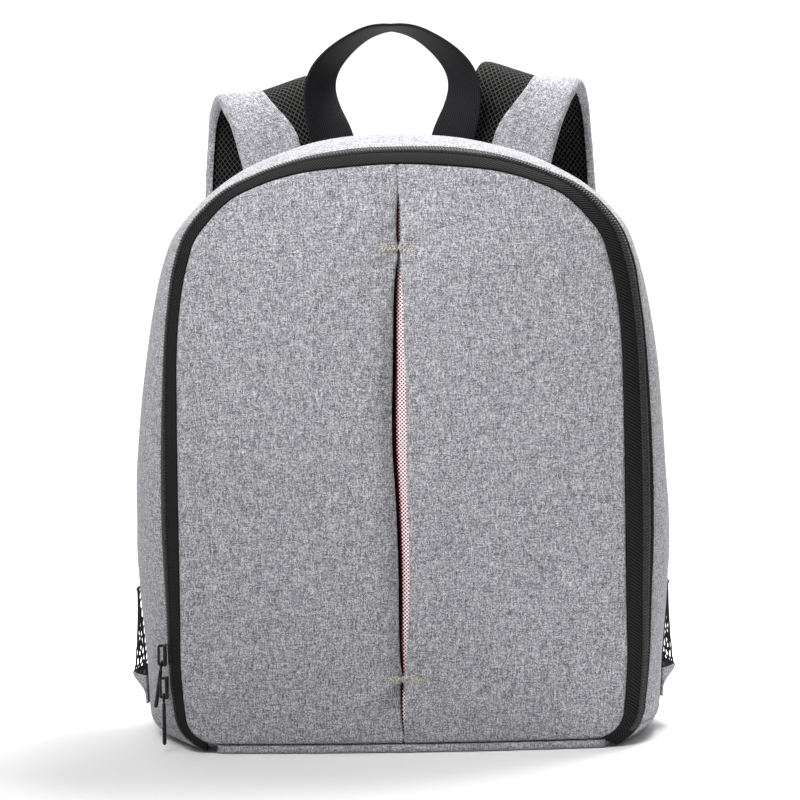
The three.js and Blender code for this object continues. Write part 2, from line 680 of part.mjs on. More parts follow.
// Closed bridge in the XZ plane with its outside corners cut off, open behind its hole
function bridgeShape() {
  const half = SLIDER_HEIGHT / 2;
  const cut = BRIDGE_CHAMFER;
  const shape = new THREE.Shape();
  shape.moveTo(-BRIDGE_FOOT, -half);
  shape.lineTo(BRIDGE_REACH - cut, -half);
  shape.lineTo(BRIDGE_REACH, -half + cut);
  shape.lineTo(BRIDGE_REACH, half - cut);
  shape.lineTo(BRIDGE_REACH - cut, half);
  shape.lineTo(-BRIDGE_FOOT, half);
  shape.closePath();
  const hole = new THREE.Path();
  hole.moveTo(0, -half + BRIDGE_WIRE);
  hole.lineTo(0, half - BRIDGE_WIRE);
  hole.lineTo(BRIDGE_REACH - BRIDGE_WIRE, half - BRIDGE_WIRE);
  hole.lineTo(BRIDGE_REACH - BRIDGE_WIRE, -half + BRIDGE_WIRE);
  hole.closePath();
  shape.holes.push(hole);
  return shape;
}

// Places a solid whose own X is outwards and own Y is up at a spot on the left side
function facingLeft(geometry, spot) {
  const turn = new THREE.Matrix4().makeBasis(
    new THREE.Vector3(-1, 0, 0), new THREE.Vector3(0, 0, 1), new THREE.Vector3(0, 1, 0),
  );
  return geometry.applyMatrix4(turn.setPosition(spot));
}

// The outer face of the slider's plate, in the middle of its height
function sliderSpot(up) {
  const heights = [-0.5, -0.3, -0.1, 0.1, 0.3, 0.5].map((share) => up + share * SLIDER_HEIGHT);
  const crest = Math.min(...heights.map((z) => coilAt(z).x));
  return new THREE.Vector3(crest - SLIDER_SEAT - SLIDER_PLATE, coilAt(up).y, up);
}

function buildSlider(name, up) {
  const plate = new THREE.BoxGeometry(SLIDER_PLATE, SLIDER_HEIGHT, SLIDER_WIDTH);
  plate.translate(-SLIDER_PLATE / 2, 0, 0);
  const bridge = new THREE.ExtrudeGeometry(bridgeShape(), { depth: BRIDGE_WIDTH, bevelEnabled: false });
  bridge.translate(0, 0, -BRIDGE_WIDTH / 2);
  const joined = toGeometry(toSolid(plate).add(toSolid(bridge)));
  addPiece(name, facingLeft(joined, sliderSpot(up)), BLACK_METAL);
}

// Middle of the bar on which a pull swings, inside the lower bend of the slider's bridge
function swingPoint(up) {
  const spot = sliderSpot(up);
  const clear = (BRIDGE_REACH - BRIDGE_WIRE) / 2;
  return new THREE.Vector3(spot.x - clear, spot.y, up - SLIDER_HEIGHT / 2 + BRIDGE_WIRE + clear);
}

// Slender pull with an eye round the bridge and a slightly wider end, hanging from its bar
function pullShape() {
  const eyeHalf = BRIDGE_WIDTH / 2 + EYE_SIDE_GAP;
  const headHalf = eyeHalf + EYE_LIMB;
  const tipHalf = PULL_WIDTH / 2;
  const waistHalf = PULL_WAIST / 2;
  const neck = -PULL_BAR / 2 - EYE_LENGTH - EYE_LIMB;
  const shape = new THREE.Shape();
  shape.moveTo(-headHalf + PULL_HEAD_CUT, PULL_BAR / 2);
  shape.lineTo(headHalf - PULL_HEAD_CUT, PULL_BAR / 2);
  shape.lineTo(headHalf, PULL_BAR / 2 - PULL_HEAD_CUT);
  shape.lineTo(headHalf, neck + PULL_NECK_CUT);
  shape.lineTo(waistHalf, neck - PULL_NECK_CUT);
  shape.lineTo(tipHalf, -PULL_LENGTH + PULL_TIP_TAPER);
  shape.lineTo(tipHalf - PULL_TIP_CUT, -PULL_LENGTH);
  shape.lineTo(-tipHalf + PULL_TIP_CUT, -PULL_LENGTH);
  shape.lineTo(-tipHalf, -PULL_LENGTH + PULL_TIP_TAPER);
  shape.lineTo(-waistHalf, neck - PULL_NECK_CUT);
  shape.lineTo(-headHalf, neck + PULL_NECK_CUT);
  shape.lineTo(-headHalf, PULL_BAR / 2 - PULL_HEAD_CUT);
  shape.closePath();
  const eye = new THREE.Path();
  eye.moveTo(-eyeHalf, -PULL_BAR / 2);
  eye.lineTo(-eyeHalf, -PULL_BAR / 2 - EYE_LENGTH);
  eye.lineTo(eyeHalf, -PULL_BAR / 2 - EYE_LENGTH);
  eye.lineTo(eyeHalf, -PULL_BAR / 2);
  eye.closePath();
  shape.holes.push(eye);
  return shape;
}

// A pull leans outwards about its bar. The upper one also lies aside, clear of the lower one's swing,
// with its bar slipped the other way along the bridge.
function buildPull(name, up, { lean, aside, slip }) {
  const geometry = new THREE.ExtrudeGeometry(pullShape(), { depth: PULL_THICKNESS, bevelEnabled: false });
  geometry.translate(0, 0, -PULL_THICKNESS / 2);
  const turn = new THREE.Matrix4().makeBasis(
    new THREE.Vector3(0, -1, 0), new THREE.Vector3(0, 0, 1), new THREE.Vector3(-1, 0, 0),
  );
  geometry.applyMatrix4(turn);
  const mesh = addPiece(name, geometry, BLACK_METAL);
  mesh.position.copy(swingPoint(up));
  mesh.position.y -= slip;
  mesh.rotation.set(radians(aside), radians(lean), 0, 'YXZ');
}

// Ribbons: webbing, straps and their covers

// Frames along a path: the point, the direction across the ribbon and the direction out of its face
function ribbonFrames(points, acrossHints, facing) {
  return points.map((point, i) => {
    const before = points[Math.max(i - 1, 0)];
    const after = points[Math.min(i + 1, points.length - 1)];
    const along = new THREE.Vector3().subVectors(after, before).normalize();
    const across = acrossHints[i].clone();
    across.addScaledVector(along, -across.dot(along)).normalize();
    const out = new THREE.Vector3().crossVectors(across, along).multiplyScalar(facing).normalize();
    return { point, along, across, out };
  });
}

// Places section points, given across and out, on a frame
function onFrame(frame, section) {
  return section.map(([across, out]) => frame.point.clone()
    .addScaledVector(frame.across, across)
    .addScaledVector(frame.out, out));
}

function flatSection(width, thickness) {
  return [
    [-width / 2, -thickness / 2], [width / 2, -thickness / 2],
    [width / 2, thickness / 2], [-width / 2, thickness / 2],
  ];
}

// Samples a table of rows along a smooth curve through its points
function sampled(rows, place, columns, steps) {
  const curve = new THREE.CatmullRomCurve3(rows.map(place), false, 'centripetal');
  const points = [];
  const values = [];
  for (let i = 0; i <= steps; i += 1) {
    const t = i / steps;
    const spot = t * (rows.length - 1);
    const row = Math.min(Math.floor(spot), rows.length - 2);
    points.push(curve.getPoint(t));
    const value = {};
    for (const column of columns) value[column] = mixed(rows[row][column], rows[row + 1][column], spot - row);
    values.push(value);
  }
  return { points, values };
}

// Height of the body's last section at a distance from its middle line
function backTopAt(x) {
  const ring = outerRings[outerRings.length - 1];
  const middle = (ARCH_COUNT - 1) / 2;
  for (let i = middle; i < ARCH_COUNT - 1; i += 1) {
    if (Math.abs(x) <= ring[i + 1].x) {
      const share = (Math.abs(x) - ring[i].x) / (ring[i + 1].x - ring[i].x);
      return mixed(ring[i].z, ring[i + 1].z, share);
    }
  }
  return 0;
}

const HANDLE_Y = BACK_FACE + SEAM_GAP + HANDLE_THICKNESS / 2;
const HANDLE_FOOT_UP = BODY_TOP + HANDLE_FOOT_LIFT;

function buildHandle() {
  const half = HANDLE_ROWS.map((row) => ({
    side: -1, out: row.out, up: row.up, turn: row.turn,
  }));
  const other = HANDLE_ROWS.slice(0, -1).reverse().map((row) => ({
    side: 1, out: row.out, up: row.up, turn: 180 - row.turn,
  }));
  const rows = [...half, ...other];
  const place = (row) => new THREE.Vector3(
    HANDLE_SHIFT + row.side * row.out * HANDLE_SPREAD,
    HANDLE_Y,
    HANDLE_FOOT_UP + row.up * (row.up < 0 ? HANDLE_ROOT : HANDLE_RISE),
  );
  const { points, values } = sampled(rows, place, ['turn'], HANDLE_STEPS);
  const hints = points.map((point, i) => {
    const before = points[Math.max(i - 1, 0)];
    const after = points[Math.min(i + 1, points.length - 1)];
    const along = new THREE.Vector3().subVectors(after, before).normalize();
    const outward = new THREE.Vector3(-along.z, 0, along.x);
    const angle = radians(values[i].turn);
    const spin = angle <= Math.PI / 2 ? Math.cos(angle) : -Math.cos(angle);
    return outward.multiplyScalar(spin).add(new THREE.Vector3(0, -Math.sin(angle), 0));
  });
  const frames = ribbonFrames(points, hints, 1);
  const section = flatSection(HANDLE_WEBBING, HANDLE_THICKNESS);
  addPiece('handle', barSolid(frames.map((frame) => onFrame(frame, section))), WEBBING);
}

const STRAP_ROOT_Y = BACK_FACE + HANDLE_THICKNESS + COVER_THICKNESS + 3 * SEAM_GAP + STRAP_THICKNESS / 2;

// Frames along one shoulder strap, with the width at each of them
function strapFrames(side, lift) {
  const rootUp = backTopAt(STRAP_SPREAD * STRAP_ROWS[0].out);
  const rise = BODY_TOP + STRAP_RISE + lift - rootUp;
  const place = (row) => new THREE.Vector3(
    side * (row.out * STRAP_SPREAD + lift * row.over * STRAP_LIFT_OUT),
    STRAP_ROOT_Y + row.reach * (STRAP_REACH - STRAP_THICKNESS),
    rootUp - row.root * STRAP_ROOT + row.over * rise - row.under * STRAP_DROP,
  );
  const { points, values } = sampled(STRAP_ROWS, place, ['tilt', 'width'], STRAP_STEPS);
  const hints = values.map((value) => {
    const tilt = radians(STRAP_TILT * value.tilt);
    return new THREE.Vector3(side * Math.cos(tilt), 0, -Math.sin(tilt));
  });
  const frames = ribbonFrames(points, hints, side);
  return frames.map((frame, i) => ({ ...frame, width: STRAP_WIDTH * values[i].width }));
}

// Section of the pad, with a corner under each edge of its cover so that the two lie parallel
function padSection(width) {
  const half = width / 2;
  const thick = STRAP_THICKNESS / 2;
  const edge = thick * PAD_EDGE_SHARE;
  return [
    [-half, -edge], [-half, edge], [-half + STRAP_ROUND, thick],
    [coverSeam(width), thick], [half - STRAP_ROUND, thick],
    [half, edge], [half, -edge],
    [half - STRAP_ROUND, -thick], [half - STRAP_ROUND - COVER_WRAP, -thick], [-half + STRAP_ROUND, -thick],
  ];
}

// Place across the strap where the cover's seam with the mesh lies
function coverSeam(width) {
  return width / 2 - COVER_WIDTH * width / STRAP_WIDTH;
}

// The cover's outline round the outer edge of the pad, at a distance from it
function coverSection(width, distance) {
  const half = width / 2;
  const thick = STRAP_THICKNESS / 2;
  const level = thick * PAD_EDGE_SHARE + distance * COVER_EDGE_SHARE;
  const corner = half - STRAP_ROUND + distance * COVER_CORNER_SHARE;
  return [
    [coverSeam(width), thick + distance],
    [corner, thick + distance],
    [half + distance, level],
    [half + distance, -level],
    [corner, -thick - distance],
    [half - STRAP_ROUND - COVER_WRAP, -thick - distance],
  ];
}

function buildStrap(name, side, lift) {
  const frames = strapFrames(side, lift);
  addPiece(`strap_pad_${name}`, barSolid(frames.map((f) => onFrame(f, padSection(f.width)))), BLACK_MESH);
  const inner = frames.map((f) => onFrame(f, coverSection(f.width, SEAM_GAP)));
  const outer = frames.map((f) => onFrame(f, coverSection(f.width, SEAM_GAP + COVER_THICKNESS)));
  addPiece(`strap_cover_${name}`, sheetSolid(outer, inner), FABRIC);
  buildAdjuster(name, side, frames[frames.length - 1]);
}

// Ladder lock at the lower end of a strap, its short loop above and the long webbing below
function buildAdjuster(name, side, end) {
  const height = 3 * BUCKLE_BAR + 2 * BUCKLE_SLOT;
  const shape = new THREE.Shape();
  const halfWidth = BUCKLE_WIDTH / 2;
  shape.moveTo(-halfWidth, 0);
  shape.lineTo(halfWidth, 0);
  shape.lineTo(halfWidth, height);
  shape.lineTo(-halfWidth, height);
  shape.closePath();
  for (const from of [BUCKLE_BAR, 2 * BUCKLE_BAR + BUCKLE_SLOT]) {
    const slotHalf = WEBBING_WIDTH / 2 + BUCKLE_SLOT_GAP;
    const slot = new THREE.Path();
    slot.moveTo(-slotHalf, from);
    slot.lineTo(-slotHalf, from + BUCKLE_SLOT);
    slot.lineTo(slotHalf, from + BUCKLE_SLOT);
    slot.lineTo(slotHalf, from);
    slot.closePath();
    shape.holes.push(slot);
  }
  const loopTurn = WEBBING_THICKNESS + SEAM_GAP;
  const top = end.point.clone().addScaledVector(end.along, loopTurn + SEAM_GAP);
  const across = end.across.clone();
  const out = end.out.clone();
  const along = end.along.clone();
  const plate = new THREE.ExtrudeGeometry(shape, { depth: BUCKLE_THICKNESS, bevelEnabled: false });
  plate.translate(0, 0, -BUCKLE_THICKNESS / 2);
  const upright = new THREE.Vector3().crossVectors(across, along);
  plate.applyMatrix4(new THREE.Matrix4().makeBasis(across, along, upright).setPosition(top));
  addPiece(`adjuster_${name}`, plate, BLACK_PLASTIC);

  const barTurn = (centre, from, to, radius) => {
    const turned = [];
    const steps = 4;
    for (let i = 0; i <= steps; i += 1) {
      const angle = radians(mixed(from, to, i / steps));
      turned.push(centre.clone().addScaledVector(out, radius * Math.cos(angle))
        .addScaledVector(along, radius * Math.sin(angle)));
    }
    return turned;
  };
  const radius = Math.max(BUCKLE_BAR, BUCKLE_THICKNESS) / 2 + SEAM_GAP + WEBBING_THICKNESS;
  const section = flatSection(WEBBING_WIDTH, WEBBING_THICKNESS);
  const webbing = (piece, points) => {
    const frames = ribbonFrames(points, points.map(() => across), side);
    addPiece(piece, barSolid(frames.map((frame) => onFrame(frame, section))), WEBBING);
  };

  const topBar = top.clone().addScaledVector(along, BUCKLE_BAR / 2);
  const legFrom = (sign) => end.point.clone()
    .addScaledVector(along, SEAM_GAP)
    .addScaledVector(out, sign * radius);
  webbing(`buckle_loop_${name}`, [legFrom(1), ...barTurn(topBar, 0, 180, radius), legFrom(-1)]);

  const lowBar = top.clone().addScaledVector(along, height - BUCKLE_BAR / 2);
  const backRing = BODY_RINGS[BODY_RINGS.length - 1];
  const anchorOut = RIM_HALF_WIDTH + SIDE_FLARE * backRing.flare - WEBBING_ANCHOR_INSET;
  const anchorY = BACK_FACE + SEAM_GAP + WEBBING_THICKNESS / 2;
  const start = lowBar.clone().addScaledVector(out, -radius).addScaledVector(along, WEBBING_TURN_BACK);
  const leave = lowBar.clone().addScaledVector(out, radius).addScaledVector(along, WEBBING_TURN_BACK);
  const anchor = new THREE.Vector3(side * anchorOut, anchorY, WEBBING_ANCHOR_UP);
  const settle = new THREE.Vector3(side * anchorOut, anchorY, WEBBING_ANCHOR_UP + WEBBING_WIDTH);
  const hang = leave.clone().addScaledVector(along, leave.distanceTo(settle) * WEBBING_HANG_SHARE);
  const ease = settle.clone().add(new THREE.Vector3(0, 0, WEBBING_WIDTH));
  const free = new THREE.CubicBezierCurve3(leave, hang, ease, settle).getPoints(12);
  webbing(`strap_webbing_${name}`, [start, ...barTurn(lowBar, 180, 360, radius), ...free, anchor]);
}

// Side pockets

// Distance from the middle plane to the outside of the body at a depth and a height
function sideAt(side, y, z) {
  const crossings = outerRings.map((ring) => {
    const line = side < 0 ? ring.slice(0, (ARCH_COUNT + 1) / 2) : ring.slice((ARCH_COUNT - 1) / 2).reverse();
    for (let i = 1; i < line.length; i += 1) {
      if (z <= line[i].z) {
        const share = (z - line[i - 1].z) / (line[i].z - line[i - 1].z);
        return line[i - 1].clone().lerp(line[i], Math.max(share, 0));
      }
    }
    return line[line.length - 1];
  });
  for (let k = 1; k < crossings.length; k += 1) {
    if (y <= crossings[k].y || k === crossings.length - 1) {
      const share = (y - crossings[k - 1].y) / (crossings[k].y - crossings[k - 1].y);
      return Math.abs(mixed(crossings[k - 1].x, crossings[k].x, share));
    }
  }
  return 0;
}

function ringDepth(index) {
  return mixed(RIM_Y, SIDE_END_Y, BODY_RINGS[index].back);
}

// Depth of a pocket column, with the body's middle section there always on a column
function pocketDepth(share) {
  const front = ringDepth(widestRing);
  const middle = ringDepth(widestRing + 1);
  const back = ringDepth(BODY_RINGS.length - 1);
  return share < 0.5 ? mixed(front, middle, share * 2) : mixed(middle, back, share * 2 - 1);
}

// How far the pocket's inner face stands off the body
function pocketStandoff(across, z) {
  const full = z < NET_FOOT_UP
    ? smooth((z - POCKET_FOOT_UP) / (NET_FOOT_UP - POCKET_FOOT_UP))
    : mixed(1, POCKET_RIM_SHARE, (z - NET_FOOT_UP) / (NET_TOP_UP - NET_FOOT_UP));
  const arch = Math.min(1, POCKET_ARCH * Math.sin(Math.PI * across));
  return POCKET_SEAM_STANDOFF + POCKET_BULGE * full * arch;
}

function pocketSheet(side, fromUp, toUp, rows, thickness) {
  const columns = 10;
  const faceAt = (extra) => {
    const grid = [];
    for (let i = 0; i <= rows; i += 1) {
      const z = mixed(fromUp, toUp, i / rows);
      const line = [];
      for (let j = 0; j <= columns; j += 1) {
        const across = j / columns;
        const y = pocketDepth(across);
        const x = sideAt(side, y, z) + pocketStandoff(across, z) + extra;
        line.push(new THREE.Vector3(side * x, y, z));
      }
      grid.push(line);
    }
    return grid;
  };
  return sheetSolid(faceAt(thickness), faceAt(0));
}

// Net with its holes cut through in staggered rows
function buildPocket(name, side) {
  addPiece(`pocket_foot_${name}`, pocketSheet(side, POCKET_FOOT_UP, NET_FOOT_UP - SEAM_GAP, 3,
    POCKET_FOOT_THICKNESS), FABRIC);
  let net = toSolid(pocketSheet(side, NET_FOOT_UP, NET_TOP_UP, 5, NET_THICKNESS));
  const front = ringDepth(widestRing);
  const stepAcross = (ringDepth(BODY_RINGS.length - 1) - front) / (NET_HOLE_COLUMNS + 1);
  const stepUp = (NET_TOP_UP - NET_FOOT_UP) / (NET_HOLE_ROWS + NET_END_MARGIN);
  for (let i = 0; i < NET_HOLE_ROWS; i += 1) {
    const shifted = i % 2 === 1;
    for (let j = 0; j < NET_HOLE_COLUMNS - (shifted ? 1 : 0); j += 1) {
      const hole = new THREE.CylinderGeometry(1, 1, POCKET_BULGE * 2, 4);
      hole.scale(stepUp * NET_HOLE_SHARE, 1, stepAcross * NET_HOLE_SHARE);
      hole.rotateZ(Math.PI / 2);
      const y = front + stepAcross * (j + 1 + (shifted ? 0.5 : 0));
      const z = NET_FOOT_UP + stepUp * (i + NET_FIRST_ROW);
      hole.translate(side * (sideAt(side, y, z) + POCKET_BULGE), y, z);
      net = net.subtract(toSolid(hole));
    }
  }
  addPiece(`pocket_net_${name}`, toGeometry(net), BLACK_MESH);
}

buildFlap('front_panel_left', -1);
buildFlap('front_panel_right', 1);
buildLining();
buildTape();
buildCoil();
buildGusset();
buildBase();
buildBack();
buildSlider('slider_upper', UPPER_SLIDER_UP);
buildSlider('slider_lower', LOWER_SLIDER_UP);
buildPull('pull_upper', UPPER_SLIDER_UP, {
  lean: UPPER_PULL_LEAN,
  aside: UPPER_PULL_ASIDE,
  slip: UPPER_PULL_SLIP,
});
buildPull('pull_lower', LOWER_SLIDER_UP, { lean: 0, aside: 0, slip: 0 });
buildHandle();
buildStrap('left', -1, LEFT_STRAP_LIFT);
buildStrap('right', 1, RIGHT_STRAP_LIFT);
buildPocket('left', -1);
buildPocket('right', 1);

export default group;
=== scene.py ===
"""A grey camera backpack: the finish of every surface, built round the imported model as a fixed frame.

Shapes are worked out in millimetres as whole numpy arrays and put into Blender in metres.
+Z is up, +X is to the right as seen from the front, and the front faces -Y.
"""

import logging
from dataclasses import astuple, dataclass, field
from enum import Enum

import bpy
import numpy as np
from mathutils import Matrix, Vector


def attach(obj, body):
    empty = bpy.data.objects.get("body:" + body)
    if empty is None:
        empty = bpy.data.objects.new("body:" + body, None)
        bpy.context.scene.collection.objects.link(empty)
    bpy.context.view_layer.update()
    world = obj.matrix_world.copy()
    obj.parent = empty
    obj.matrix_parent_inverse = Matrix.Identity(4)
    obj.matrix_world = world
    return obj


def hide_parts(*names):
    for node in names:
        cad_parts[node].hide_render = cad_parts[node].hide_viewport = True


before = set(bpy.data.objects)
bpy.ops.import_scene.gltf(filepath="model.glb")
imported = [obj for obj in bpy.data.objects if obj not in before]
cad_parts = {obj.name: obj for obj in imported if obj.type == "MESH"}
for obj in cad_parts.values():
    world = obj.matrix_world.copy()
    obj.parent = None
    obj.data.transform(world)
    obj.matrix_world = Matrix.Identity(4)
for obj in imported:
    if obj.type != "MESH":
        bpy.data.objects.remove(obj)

Array = np.ndarray
Socket = bpy.types.NodeSocket
Material = bpy.types.Material
Piece = bpy.types.Object
MM = 0.001
ARC_STEPS = 5
FRONT = np.array([0.0, -1.0, 0.0])
LOG = logging.getLogger("camera_backpack")


class Side(Enum):
    """Left or right of the bag, as the sign of X."""

    LEFT = -1
    RIGHT = 1

    @property
    def word(self) -> str:
        """The side's plain word, as the node names end."""
        return self.name.lower()


# Curves, grids and noise

def smooth_through(knots: Array, values: Array, places: Array) -> Array:
    """Passes a smooth curve through rows of values.

    Between two knots the curve is a cubic whose end slopes are the mean of the neighbouring chords,
    each weighted by the other's length.

    Args:
        knots: Rising places of the rows, shape (n,).
        values: Rows of numbers, shape (n, k).
        places: Where the curve is wanted, shape (m,).

    Returns:
        The curve's rows at the places, shape (m, k).
    """
    steps = np.diff(knots)[:, None]
    chords = np.diff(values, axis=0) / steps
    slopes = np.empty_like(values)
    slopes[1:-1] = (chords[:-1] * steps[1:] + chords[1:] * steps[:-1]) / (steps[1:] + steps[:-1])
    slopes[0] = chords[0]
    slopes[-1] = chords[-1]
    index = np.clip(np.searchsorted(knots, places, side="right") - 1, 0, len(knots) - 2)
    step = steps[index]
    share = ((places - knots[index]) / step[:, 0])[:, None]
    square, cube = share ** 2, share ** 3
    return (
        (2 * cube - 3 * square + 1) * values[index]
        + (cube - 2 * square + share) * step * slopes[index]
        + (3 * square - 2 * cube) * values[index + 1]
        + (cube - square) * step * slopes[index + 1]
    )


def eased(share: Array) -> Array:
    """Three s squared less two s cubed, with s held between 0 and 1."""
    held = np.clip(share, 0, 1)
    return held * held * (3 - 2 * held)


def unit(vectors: Array) -> Array:
    """Vectors divided by their lengths."""
    return vectors / np.maximum(np.linalg.norm(vectors, axis=-1, keepdims=True), 1e-9)


def chord_places(points: Array) -> Array:
    """Running length of a line of points, from 0 at its first point."""
    return np.concatenate([[0.0], np.cumsum(np.linalg.norm(np.diff(points, axis=0), axis=1))])


def root_places(points: Array) -> Array:
    """Running sum of the square roots of a line's chords, which keeps a smooth curve from overshooting."""
    return np.cumsum(np.concatenate([[0], np.linalg.norm(np.diff(points, axis=0), axis=1) ** 0.5]))


def plump(share: Array) -> Array:
    """One less the square of one less the share, with the share held between 0 and 1."""
    return 1 - (1 - np.clip(share, 0, 1)) ** 2


def signed_power(values: Array, power: float) -> Array:
    """Sizes of the values raised to a power, with the values' signs."""
    return np.sign(values) * np.abs(values) ** power


def round_angles(sides: int) -> Array:
    """Angles of a circle's points in radians, from 0 up."""
    return np.arange(sides) * 2 * np.pi / sides


def along_line(points: Array, shares: Array) -> Array:
    """Points at shares of a line's length.

    Args:
        points: The line, shape (n, k).
        shares: Shares of its length from 0 to 1, shape (m,).

    Returns:
        Points of shape (m, k), straight between those of the line.
    """
    places = chord_places(points)
    wanted = shares * places[-1]
    return np.stack([np.interp(wanted, places, points[:, k]) for k in range(points.shape[1])], axis=1)


def fill_borders(left: Array, right: Array, bottom: Array, top: Array, across: Array, up: Array) -> Array:
    """Fills four border lines with a grid.

    Each point is the blend of the two sides plus the blend of the two ends less the blend of the corners.

    Args:
        left: Left border from the bottom up.
        right: Right border from the bottom up.
        bottom: Lower border from left to right.
        top: Upper border from left to right.
        across: Shares from left to right.
        up: Shares from the bottom up.

    Returns:
        A grid of shape (len(up), len(across), k).
    """
    u = across[None, :, None]
    v = up[:, None, None]
    sides = along_line(left, up)[:, None] * (1 - u) + along_line(right, up)[:, None] * u
    ends = along_line(bottom, across)[None] * (1 - v) + along_line(top, across)[None] * v
    corners = (
        left[0] * (1 - u) * (1 - v) + right[0] * u * (1 - v) + left[-1] * (1 - u) * v + right[-1] * u * v
    )
    return sides + ends - corners


def distance_to_line(points: Array, line: Array) -> Array:
    """Shortest distance from each point to a line of straight pieces.

    Args:
        points: Places of shape (..., 2).
        line: The line's corners, shape (n, 2).

    Returns:
        Distances of shape (...).
    """
    flat = points.reshape(-1, 2)
    nearest = np.full(len(flat), np.inf)
    starts = line[:-1]
    spans = np.diff(line, axis=0)
    lengths = np.maximum((spans ** 2).sum(1), 1e-9)
    for start, span, length in zip(starts, spans, lengths):
        offset = flat - start
        share = np.clip(offset @ span / length, 0, 1)[:, None]
        nearest = np.minimum(nearest, ((offset - share * span) ** 2).sum(1))
    return np.sqrt(nearest).reshape(points.shape[:-1])


def soft_noise(a: Array, b: Array, size: float, seed: int) -> Array:
    """Smooth uneven field in two directions.

    A square lattice of seeded random heights, eased from each lattice point to the next.

    Args:
        a: First coordinate in millimetres.
        b: Second coordinate in millimetres.
        size: Spacing of the lattice in millimetres.
        seed: Seed of the random heights.

    Returns:
        Heights of about -1 to 1, of the coordinates' shape.
    """
    lattice = np.random.default_rng(seed).uniform(-1, 1, (64, 64))
    x, y = a / size + 32.0, b / size + 32.0
    i, j = np.floor(x).astype(int), np.floor(y).astype(int)
    u, v = eased(x - i), eased(y - j)
    i0, i1, j0, j1 = i % 64, (i + 1) % 64, j % 64, (j + 1) % 64
    low = lattice[i0, j0] * (1 - u) + lattice[i1, j0] * u
    high = lattice[i0, j1] * (1 - u) + lattice[i1, j1] * u
    return low * (1 - v) + high * v


def layered_noise(a: Array, b: Array, layers: tuple) -> Array:
    """Sum of soft noises, each with its own height, size and seed.

    Args:
        a: First coordinate in millimetres.
        b: Second coordinate in millimetres.
        layers: Rows of height, size and seed.

    Returns:
        Heights of the coordinates' shape.
    """
    return sum(height * soft_noise(a, b, size, seed) for height, size, seed in layers)


def grid_normals(points: Array, towards: Array) -> Array:
    """Unit normals of a grid, on the side of a direction.

    Each is the cross product of the grid's steps along the rows and along the columns, turned round
    where it points away from the direction.

    Args:
        points: Grid of shape (rows, columns, 3).
        towards: One direction, or one for each point.

    Returns:
        Unit vectors of the grid's shape.
    """
    normals = unit(np.cross(np.gradient(points, axis=0), np.gradient(points, axis=1)))
    return normals * np.where((normals * towards).sum(-1, keepdims=True) < 0, -1, 1)


def edge_drop(distance: Array, radius: float) -> Array:
    """How far a rounded edge falls below the face, at distances from the edge.

    The radius less the height of a circle of that radius, and nothing farther in than the radius.
    """
    from_middle = radius - np.minimum(distance, radius)
    return radius - np.sqrt(radius ** 2 - from_middle ** 2)


def walled(outer: Array, normals: Array, thickness: Array | float) -> Array:
    """Closed loops round a wall with half-round edges.

    Each row of the outer face is followed by a half circle round its last edge, by the inner face
    backwards, and by a half circle round its first edge.

    Args:
        outer: Outer face, shape (rows, columns, 3).
        normals: Unit vectors out of it, of the same shape.
        thickness: Wall thickness in millimetres, one number or one for each point.

    Returns:
        Loops of shape (rows, 2 * columns + 2 * ARC_STEPS, 3).
    """
    depth = np.broadcast_to(np.asarray(thickness, float), outer.shape[:2])[..., None]
    inner = outer - normals * depth
    angles = np.linspace(0, np.pi, ARC_STEPS + 2)[1:-1][None, :, None]

    def rounded(edge: int, beside: int, turn: Array) -> Array:
        """Half circles round one edge of each row."""
        middle = (outer[:, edge] + inner[:, edge])[:, None] / 2
        tangent = unit(outer[:, edge] - outer[:, beside])[:, None]
        radius = depth[:, edge][:, None] / 2
        return middle + radius * (np.cos(turn) * normals[:, edge][:, None] + np.sin(turn) * tangent)

    return np.concatenate(
        [outer, rounded(-1, -2, angles), inner[:, ::-1], rounded(0, 1, angles[:, ::-1])], axis=1
    )


def loop_uv(loops: Array) -> Array:
    """Flat places in metres for closed loops: the running length round each loop and along the rows.

    Args:
        loops: Loops of shape (rows, columns, 3) in millimetres.

    Returns:
        Places of shape (rows, columns + 1, 2), with the first column again at the end.
    """
    closed = np.concatenate([loops, loops[:, :1]], axis=1)
    round_steps = np.linalg.norm(np.diff(closed, axis=1), axis=2).mean(0)
    along_steps = np.linalg.norm(np.diff(loops, axis=0), axis=2).mean(1)
    u = np.concatenate([[0.0], np.cumsum(round_steps)])
    v = np.concatenate([[0.0], np.cumsum(along_steps)])
    return np.stack(np.meshgrid(u, v), axis=-1) * MM


